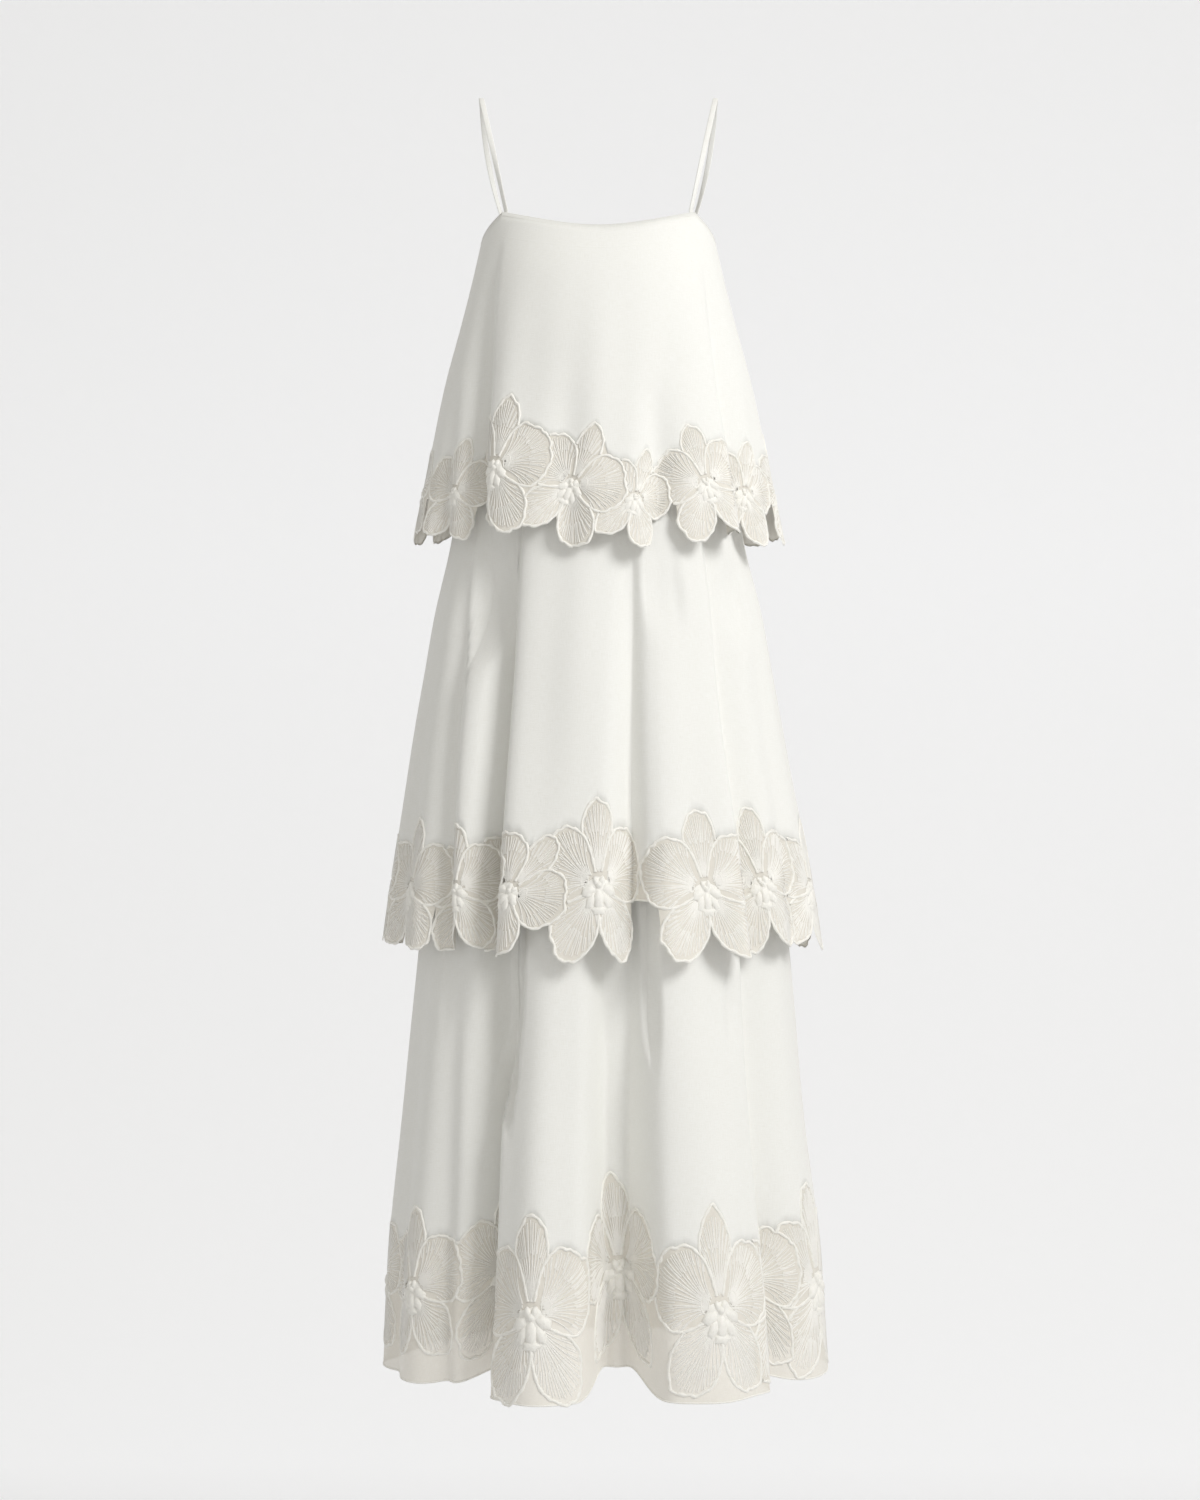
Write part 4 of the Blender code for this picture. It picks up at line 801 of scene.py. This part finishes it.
@dataclass
class TierPanels:
    """The linen panel, the organza border and the embroidery of each half of one tier.

    Both cloths lie a little way out of the tier's surface. The organza laps under the linen, and is tucked
    as high as its edge gets within a few columns, so that no gap shows beside a petal. Its edges are bound
    where they keep to the band's own line within the play, and the lower cord is sunk into it a little.
    """

    plan: Plan
    finishes: dict[str, Material]
    linen_out: float = 0.0009
    linen_thickness: float = 0.0006
    organza_out: float = 0.0006
    organza_columns: int = 420
    organza_rows: int = 25
    lap: float = 0.0012
    tuck: int = 3
    binding_step: float = 0.0025
    binding_play: float = 0.0005
    hem_sink: float = 0.0003

    def edges(self, half: Half, runs: Array) -> tuple[Array, Array]:
        """Heights of the border's upper and lower edge.

        Args:
            half: The half of the tier.
            runs: Runs to read at.

        Returns:
            The upper edge, where the linen ends, and the lower one, the scalloped or straight hem.
        """
        tier = self.plan.tier
        outlines = [orchid_outline(f, c) for f, c in self.plan.flowers(half, REACH_IN)]
        upper = envelope(runs, outlines, tier.row_height + tier.band_top, True)
        if tier.band_bottom is None:
            return upper, np.full(runs.shape, tier.hem)
        return upper, envelope(runs, outlines, tier.row_height - tier.band_bottom, False)

    def linen(self, half: Half) -> Piece:
        """The linen panel: a grid whose rows part each column evenly from the border to the top edge."""
        tier, plan = self.plan.tier, self.plan
        runs = plan.columns(half, tier.columns)
        upper, _ = self.edges(half, runs)
        top = tier.top_edge(plan.angle_at(runs))
        flat, quads = panel_grid(runs, upper - self.lap, top, tier.rows, self.linen_out)
        piece = self.sheet("linen", half, flat, quads, "tier")
        return piece

    def organza(self, half: Half, stitching: list[Piece]) -> Piece:
        """The sheer ground of the border: a grid between its two edges, with eyelets cut out.

        Args:
            half: The half of the tier.
            stitching: The embroidery that is sewn on it. Not used.

        Returns:
            The ground.
        """
        runs = self.plan.columns(half, self.organza_columns)
        upper, lower = self.edges(half, runs)
        beside = np.pad(upper, self.tuck, mode="edge")
        shifts = range(2 * self.tuck + 1)
        tucked = np.maximum.reduce([beside[k : k + len(runs)] for k in shifts]) + self.lap
        flat, quads = panel_grid(runs, lower, tucked, self.organza_rows, self.organza_out)
        for eyelet in self.eyelets(half):
            flat, quads = cut_eyelet(flat, quads, *eyelet)
        piece = self.sheet("organza", half, flat, quads, "border")
        return piece

    def sheet(
        self,
        cloth: str,
        half: Half,
        flat: Array,
        quads: Quads,
        solid: str,
    ) -> Piece:
        """Lay a sheet of cloth, and hide the solid that it stands for.

        Args:
            cloth: The word of its finish.
            half: The half of the tier.
            flat: Its points in the plan.
            quads: Its faces.
            solid: The word of its solid.

        Returns:
            The sheet; linen is given its thickness.
        """
        tier, points = self.plan.tier, self.plan.lay(flat)
        name = f"{tier.name}_{cloth}_{half.label}"
        piece = make_piece(name, points, quads, flat[:, :2], self.finishes[cloth])
        if cloth == "linen":
            shell = piece.modifiers.new("shell", "SOLIDIFY")
            shell.thickness, shell.offset = self.linen_thickness, -1.0
        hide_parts(f"{tier.name}_{solid}_{half.label}")
        return piece

    def eyelets(self, half: Half) -> list[tuple[Array, Array, float]]:
        """Centre, half sizes and turn of each eyelet in a half."""
        found = []
        for flower, centre in self.plan.flowers(half):
            for across, up, wide, tall in EYELETS if flower.eyelets else ():
                middle = to_plan(flower, centre, np.array([across * flower.aspect, up]))
                size = np.maximum(np.array([wide, tall]) * flower.size, EYELET_LEAST)
                found.append((middle, size, flower.tilt))
        return found

    def embroidery(self, half: Half) -> list[Piece]:
        """Embroider a half's orchids.

        Args:
            half: The half of the tier.

        Returns:
            The satin cords and lips as one piece, and the fine veins as another.
        """
        tier, plan = self.plan.tier, self.plan
        cords, veins = Pieces(plan), Pieces(plan)
        placed = plan.flowers(half, REACH_IN)
        outlines = [orchid_outline(f, c, OVERLAP) for f, c in placed]
        left, right = plan.run_at(half.start), plan.run_at(half.end)
        for index, (flower, centre) in enumerate(placed):
            if left <= centre[0] < right:
                OrchidStitching(flower, centre, outlines[:index]).stitch(cords, veins)
        for middle, size, turn in self.eyelets(half):
            rim = size * RIM_GROWTH * np.column_stack([np.cos(RIM_RING), np.sin(RIM_RING)])
            cords.strands(middle + turned(rim, turn), *RIM_CORD, self.organza_out, CORD)
        self.bind_edges(half, cords)
        made = [
            cords.build(f"{tier.name}_satin_cords_{half.label}", self.finishes["satin"]),
            veins.build(f"{tier.name}_veins_{half.label}", self.finishes["vein"]),
        ]
        return made

    def bind_edges(self, half: Half, cords: Pieces) -> None:
        """Bind the border's edges between orchids: a cord where the edge is the band's own line."""
        tier, plan = self.plan.tier, self.plan
        runs = np.arange(plan.run_at(half.start), plan.run_at(half.end), self.binding_step)
        upper, lower = self.edges(half, runs)
        band = tier.row_height + tier.band_top
        hem = tier.hem if tier.band_bottom is None else tier.row_height - tier.band_bottom
        top, foot = (np.column_stack([runs, np.full(runs.shape, height)]) for height in (band, hem))
        cords.strands(top, *UPPER_CORD, self.organza_out, CORD, upper < band + self.binding_play)
        shown = lower > hem - self.binding_play
        cords.strands(foot, *LOWER_CORD, self.organza_out - self.hem_sink, CORD, shown)


def cut_eyelet(flat: Array, quads: Quads, centre: Array, half: Array, turn: float) -> tuple[Array, Quads]:
    """Cut an elliptical eyelet out of a grid: faces centred in it go, and their rim moves onto its edge.

    Args:
        flat: Points in the plan.
        quads: The grid's faces.
        centre: The eyelet's middle.
        half: Its half sizes.
        turn: Its turn.

    Returns:
        The points and the faces that are left.
    """
    local = turned(flat[:, :2] - centre, -turn)
    gone = ((local[quads].mean(axis=1) / half) ** 2).sum(axis=1) < 1.0
    rim = np.intersect1d(quads[gone], quads[~gone])
    scale = np.sqrt(((local[rim] / half) ** 2).sum(axis=1)).clip(RIM_NEAREST)
    flat = flat.copy()
    flat[rim, :2] = centre + turned(local[rim] / scale[:, None], turn)
    return flat, quads[~gone]


# Pads of an orchid's lip: place across and up, half width and length, turn, height and ruffle.
LIP_PADS = (
    (0, -0.02, 0.15, 0.12, 0, 0.014, 0.1), (-0.115, -0.06, 0.09, 0.06, 38, 0.034, 0.12),
    (0.12, -0.05, 0.092, 0.062, -36, 0.034, 0.12), (-0.085, -0.17, 0.05, 0.1, -24, 0.03, 0.14),
    (0.088, -0.165, 0.05, 0.102, 26, 0.03, 0.14), (0, -0.15, 0.06, 0.12, 0, 0.04, 0.08),
    (0, -0.27, 0.085, 0.055, 0, 0.026, 0.2), (-0.03, 0.05, 0.034, 0.06, 14, 0.036, 0.05),
    (0.034, 0.055, 0.034, 0.06, -14, 0.036, 0.05), (0, 0.01, 0.04, 0.046, 0, 0.046, 0.05),
)
# Directions of a petal's outline as shares of its half spread, closer together towards its sides.
PETAL_SWEEP = np.sin(np.linspace(-np.pi / 2, np.pi / 2, 161)) * 0.9995
# The two fans of veins: start and end as shares of the petal's reach, spread, points, and veins more.
VEIN_FANS = ((0.15, 0.93, 0.86, 9, 0), (0.56, 0.95, 0.90, 6, 1))


@dataclass
class OrchidStitching:
    """The embroidery of one orchid: corded petals, fanned veins and a raised lip of stitched pads.

    The outlines in over are those of the orchids that lie over this one. A petal's cord is walked in steps,
    ruffled by a share of its width, and starts a share of the orchid's size from its centre. The petal itself
    hides what lies under it up to its lap. Veins are counted along an arc at a share of the petal's reach;
    their places, bends, starts and ends vary by small random shares.
    """

    flower: Flower
    centre: Array
    over: list[Array]
    base: float = 0.0006
    vein_out: float = 0.0001
    lip_out: float = 0.0002
    petal_order: tuple[int, ...] = (1, 2, 0, 3, 4)
    cord_step: float = 0.0024
    ruffle: float = 0.22
    ruffle_turn: float = 1.15
    ruffle_shift: float = 2.0
    cord_start: float = 0.10
    petal_lap: float = 0.01
    vein_arc: float = 0.62
    vein_jitter: float = 0.015
    vein_bend: float = 0.02
    start_play: float = 0.06
    end_play: float = 0.02
    latest_start: float = 0.8

    def petal_outline(self, petal: Petal, grow: float = 0.0) -> Array:
        """A petal's edge in the plan: its reach swept over its spread, with a slight ruffle."""
        direction = petal.direction + PETAL_SWEEP * petal.spread
        distance = petal_reach(petal, direction) * (ragged(self.flower, direction) + grow)
        return around(self.flower, self.centre, direction, distance)

    def stitch(self, cords: Pieces, veins: Pieces) -> None:
        """Stitch the whole orchid, from its uppermost petal down.

        Args:
            cords: The piece that takes its cords and its lip.
            veins: The piece that takes its veins.
        """
        above: list[Array] = []
        size = self.flower.size
        for rank, index in enumerate(self.petal_order):
            petal = PETALS[index]
            path = even_path(self.petal_outline(petal), self.cord_step)
            turn = np.arange(len(path)) * self.ruffle_turn + rank * self.ruffle_shift
            ruffle = 1.0 + self.ruffle * np.sin(turn)
            shown = ~hidden(path, self.over + above)
            shown &= np.linalg.norm(path - self.centre, axis=1) > self.cord_start * size
            width = (CORD_WIDTH[0] + CORD_WIDTH[1] * size) * ruffle
            cords.strands(path, width, CORD_HEIGHT + CORD_RUFFLE * ruffle, self.base, CORD, shown)
            self.veins(petal, veins, above, rank)
            above.append(self.petal_outline(petal, grow=self.petal_lap))
        self.lip(cords)

    def veins(self, petal: Petal, veins: Pieces, above: list[Array], rank: int) -> None:
        """Fan veins over a petal: long ones from the heart and short ones between them near the edge.

        A vein's angle off the petal's axis grows with the square root of the way along it, so that the
        veins part near the heart and then run on nearly straight, with a slight bend of their own.

        Args:
            petal: The petal.
            veins: The piece that takes the veins.
            above: Outlines of the petals that lie over it.
            rank: The petal's place in the order of stitching.
        """
        size = self.flower.size
        arc = math.radians(petal.spread * 2) * petal.reach * size * self.vein_arc * self.flower.aspect
        count = max(7, int(arc / (VEIN_GAP[0] + VEIN_GAP[1] * size)))
        seed = np.random.default_rng(int(abs(self.flower.angle * 10) + rank * 7 + size * 1000))
        for first, last, span, points, more in VEIN_FANS:
            number = count + more
            place = np.linspace(-span, span, number)
            place = place + seed.uniform(-self.vein_jitter, self.vein_jitter, number)
            steps = np.linspace(0.0, 1.0, points)
            edge = petal_reach(petal, petal.direction + place * petal.spread)
            end = (edge * (last - self.end_play * seed.random(number)))[:, None]
            start = first + self.start_play * seed.random(number)[:, None]
            start = np.minimum(start, end * self.latest_start)
            radius = start + (end - start) * steps
            bend = self.vein_bend * seed.uniform(-1, 1, number)[:, None] * np.sin(steps * np.pi)
            turn = place[:, None] * np.sqrt(radius / np.maximum(end, 1e-6)) + bend
            paths = around(self.flower, self.centre, petal.direction + petal.spread * turn, radius)
            shown = ~hidden(paths.reshape(-1, 2), self.over + above).reshape(radius.shape)
            width = (VEIN_WIDTH[0] + VEIN_WIDTH[1] * size) * (VEIN_TAPER[0] - VEIN_TAPER[1] * steps)
            veins.strands(paths, width, VEIN_HEIGHT, self.base + self.vein_out, THREAD, shown)

    def lip(self, cords: Pieces) -> None:
        """Pile the lip from stitched pads, set out and sized as shares of the orchid's size."""
        size = self.flower.size
        for across, up, wide, tall, turn, height, ruffle in LIP_PADS:
            middle = to_plan(self.flower, self.centre, np.array([across, up]))
            if not hidden(middle[None], self.over)[0]:
                half, lean = np.array([wide, tall]) * size, turn + self.flower.tilt
                cords.pad(middle, half, lean, height * size, self.base + self.lip_out, ruffle)


@dataclass
class NeckFinish:
    """The neckline's stitched edge, the ridge of its turning, and the pressed side seams.

    The thread and both kinds of ridge have their width, their height and how far out of the cloth they start.
    A seam's ridge ends a little below the tier's top edge and a little above its flower row.
    """

    plans: tuple[Plan, Plan, Plan]
    finishes: dict[str, Material]
    stitch: float = 0.0022
    pitch: float = 0.0034
    stitch_drop: float = 0.0040
    turning_drop: float = 0.027
    turning_reach: float = 60.0
    turning_step: float = 0.004
    seam_ends: tuple[float, float] = (0.001, 0.03)
    seam_step: float = 0.006
    thread: Triple = (0.0006, 0.00035, 0.0009)
    seam_ridge: Triple = (0.0024, 0.0004, 0.0008)
    turning_ridge: Triple = (0.0034, 0.0004, 0.0007)

    def along_neck(self, runs: Array, drop: float) -> Array:
        """Points of the top tier's plan a drop below the neckline."""
        top = self.plans[0]
        return np.column_stack([runs, top.tier.top_edge(top.angle_at(runs)) - drop])

    def build(self) -> list[Piece]:
        """Make the neckline's stitches, and the linen ridges of each tier.

        Returns:
            The pieces, in that order.
        """
        top = self.plans[0]
        stitches = Pieces(top)
        runs = np.arange(top.run_at(-180.0), top.run_at(180.0), self.pitch)
        share = np.linspace(0.0, 1.0, 4)[None, :, None]
        starts = self.along_neck(runs, self.stitch_drop)[:, None, :]
        ends = self.along_neck(runs + self.stitch, self.stitch_drop)[:, None, :]
        stitches.strands(starts * (1 - share) + ends * share, *self.thread)
        made = [stitches.build("neck_topstitching", self.finishes["vein"])]
        for plan in self.plans:
            ridges = Pieces(plan)
            for half in Half:
                top_height = float(plan.tier.top_edge(np.array([half.start]))[0])
                first, last = top_height - self.seam_ends[0], plan.tier.row_height + self.seam_ends[1]
                down = np.arange(first, last, -self.seam_step)
                path = np.column_stack([np.full(down.shape, plan.run_at(half.start)), down])
                ridges.strands(path, *self.seam_ridge)
            if plan is top:
                start, end = top.run_at(-self.turning_reach), top.run_at(self.turning_reach)
                runs = np.arange(start, end, self.turning_step)
                ridges.strands(self.along_neck(runs, self.turning_drop), *self.turning_ridge)
            made.append(ridges.build(f"{plan.tier.name}_seam_ridges", self.finishes["linen"]))
        return made


@dataclass
class Straps:
    """The two thin straps: a soft-cornered ribbon along an arch from the front corner to the back one.

    A strap's ends are let in behind the neckline by the tail, and the inset keeps them inside the cloth. The
    powers round the arch's top, lean its back half and square its section's two half axes. The section is
    drawn together at both ends.
    """

    plan: Plan
    finish: Material
    top_x: float = 0.131
    width: float = 0.006
    thickness: float = 0.0017
    step: float = 0.003
    tail: float = 0.010
    clearance: float = 0.0015
    inset: float = 0.0016
    arch_power: float = 0.75
    lean_power: float = 1.8
    section_powers: tuple[float, float] = (0.5, 0.7)
    twist_drop: float = 0.12
    arch_points: int = 140
    ring_points: int = 17
    end_share: float = 0.02

    def landing(self, side: float, angle: float, below: float) -> tuple[Array, Array]:
        """A point just inside the middle tier, a distance below its top edge, and the cloth's direction."""
        tier = self.plan.tier
        at = np.array([side * angle, side * (angle + 1.0), side * (angle - 1.0)])
        here, ahead, behind = tier.surface(at, float(tier.top_edge(at[:1])[0]) - below)
        along = unit(ahead - behind)
        return here - np.cross(along, [0.0, 0.0, 1.0]) * side * self.inset, along

    def build(self, side: float, name: str) -> Piece:
        """Make one strap: a rounded oblong carried along its arch.

        Args:
            side: 1 on the wearer's left, -1 on the right.
            name: The strap's node.

        Returns:
            The strap.
        """
        (front_tail, front_along), (back_tail, back_along), (front, _), (back, _) = (
            self.landing(side, angle, below)
            for below in (self.tail, -self.clearance)
            for angle in (FRONT_CORNER, BACK_CORNER)
        )
        turn = np.linspace(0.0, np.pi, self.arch_points)
        ahead = turn < np.pi / 2
        rise = np.sin(turn).clip(0.0, 1.0) ** self.arch_power
        foot = np.where(ahead[:, None], front, back)
        down = np.where(ahead, 1.0 - rise, (1.0 - rise) ** self.lean_power)
        x = side * self.top_x + (foot[:, 0] - side * self.top_x) * down
        y = np.where(ahead, front[1], -back[1]) * np.cos(turn)
        arch = np.column_stack([x, y, foot[:, 2] * (1.0 - rise)])
        path = even_path(np.vstack([front_tail, arch, back_tail]), self.step)
        count = len(path)

        # The ribbon lies level over the shoulder and turns to lie along the cloth at its feet.
        twist = smooth_step(-path[:, 2:3] / self.twist_drop) ** 2
        foot_along = np.where((np.arange(count) < count / 2)[:, None], front_along, -back_along)
        wide = np.array([side, 0.0, 0.0]) * (1.0 - twist) + foot_along * twist
        along = unit(np.gradient(path, axis=0))
        wide = unit(wide - along * (wide * along).sum(axis=1)[:, None])
        deep = np.cross(along, wide)
        ring = np.linspace(0.0, 2 * np.pi, self.ring_points)
        cosine, sine = np.cos(ring), np.sin(ring)
        across = np.sign(cosine) * np.abs(cosine) ** self.section_powers[0] * self.width / 2
        up = np.sign(sine) * np.abs(sine) ** self.section_powers[1] * self.thickness / 2
        closing = np.ones((count, 1, 1))
        closing[[0, -1]] = self.end_share
        profile = across[None, :, None] * wide[:, None, :] + up[None, :, None] * deep[:, None, :]
        points = path[:, None, :] + profile * closing
        uv = np.empty((count, len(ring), 2))
        uv[..., 0] = (np.arange(count) * self.step)[:, None]
        uv[..., 1] = ring * self.width / math.pi
        quads = grid_quads(count, len(ring))
        piece = make_piece(f"{name}_ribbon", points.reshape(-1, 3), quads, uv.reshape(-1, 2), self.finish)
        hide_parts(name)
        return piece


@dataclass(frozen=True)
class Studio:
    """The pale room: a seamless floor and wall, a large soft key light, a fill, and the camera.

    The backdrop glows by itself, from nothing at the first distance of glow_rise to all of it at the second.
    Each lamp has its name, its place, what it points at, its width and its power in watts.
    """

    tone: Triple = (0.84, 0.845, 0.865)
    wall_y: float = 4.6
    wall_height: float = 7.5
    floor_z: float = -2.2
    floor_start: float = -30.0
    half_width: float = 30.0
    bend: float = 2.0
    glow: float = 0.27
    glow_rise: tuple[float, float] = (0.6, 2.6)
    lamps: tuple[tuple[str, Triple, Triple, float, float], ...] = (
        ("key", (2.5, -2.7, 1.7), (0.0, 0.0, -0.3), 1.5, 108.0),
        ("fill", (-2.6, -3.6, -0.2), (0.0, 0.0, -0.8), 2.2, 10.0),
    )
    room_light: tuple[float, ...] = (1.0, 0.98, 0.92, 1.0)
    room_strength: float = 0.47
    lens: float = 66.65
    eye: Triple = (0.00168, -3.11, -0.7286)

    def backdrop(self) -> None:
        """Floor and wall as one sheet: a level run, a quarter turn of the bend and an upright run."""
        turn = np.linspace(0.0, np.pi / 2, 24)
        ys = [self.floor_start, *(self.wall_y - self.bend + self.bend * np.sin(turn)), self.wall_y]
        zs = [self.floor_z + z for z in (0.0, *(self.bend * (1.0 - np.cos(turn))), self.wall_height)]
        points = [(x, y, z) for y, z in zip(ys, zs) for x in (-self.half_width, 0.0, self.half_width)]
        mesh = bpy.data.meshes.new("backdrop")
        mesh.from_pydata(points, [], grid_quads(len(ys), 3).tolist())
        mesh.shade_smooth()
        matt = {"Base Color": (*self.tone, 1.0), "Roughness": 1.0, "Specular IOR Level": 0.0}
        paint = Shader("backdrop_paint", {**matt, "Emission Color": (1.0, 1.0, 1.0, 1.0)})
        split = paint.add("SeparateXYZ", {"Vector": paint.add("TexCoord", {}).outputs["Object"]})
        limits = {"From Min": self.glow_rise[0], "From Max": self.glow_rise[1], "To Max": self.glow}
        rise = paint.add("MapRange", {"Value": split.outputs["Y"], **limits})
        paint.fill(paint.surface, {"Emission Strength": rise.outputs["Result"]})
        mesh.materials.append(paint.material)
        add_to_scene("backdrop", mesh)

    def build(self) -> None:
        """Set up the room, the lights, the world and the camera."""
        scene = bpy.context.scene
        self.backdrop()
        for name, spot, aim, size, power in self.lamps:
            lamp = bpy.data.lights.new(name, "AREA")
            lamp.shape = "SQUARE"
            lamp.size, lamp.energy = size, power
            hung = add_to_scene(name, lamp)
            hung.location, hung.rotation_mode = spot, "QUATERNION"
            hung.rotation_quaternion = (Vector(spot) - Vector(aim)).to_track_quat("Z", "Y")
        world = bpy.data.worlds.new("room")
        world.use_nodes = True
        inputs = world.node_tree.nodes["Background"].inputs
        inputs["Color"].default_value, inputs["Strength"].default_value = self.room_light, self.room_strength
        scene.world = world
        scene.view_settings.view_transform = "Standard"
        scene.view_settings.look = "None"
        camera = bpy.data.cameras.new("camera")
        camera.sensor_width = 36.0
        camera.lens = self.lens
        scene.camera = add_to_scene("camera", camera)
        scene.camera.location, scene.camera.rotation_euler = self.eye, (math.pi / 2, 0.0, 0.0)


def main() -> None:
    """Build the room, the tiers, the neck finish and the straps, and report each piece."""
    logging.basicConfig(level=logging.INFO, format="%(message)s")
    Studio().build()
    finishes = {"linen": LINEN.make(), "organza": ORGANZA.make(), "satin": SATIN.make(), "vein": VEIN.make()}
    plans = (Plan(TOP_TIER), Plan(MIDDLE_TIER), Plan(BOTTOM_TIER))
    for plan in plans:
        panels = TierPanels(plan, finishes)
        for half in Half:
            panels.linen(half)
            panels.organza(half, panels.embroidery(half))
    NeckFinish(plans, finishes).build()
    straps = Straps(plans[1], finishes["linen"])
    straps.build(1.0, "strap_left")
    straps.build(-1.0, "strap_right")


if __name__ == "__main__":
    main()
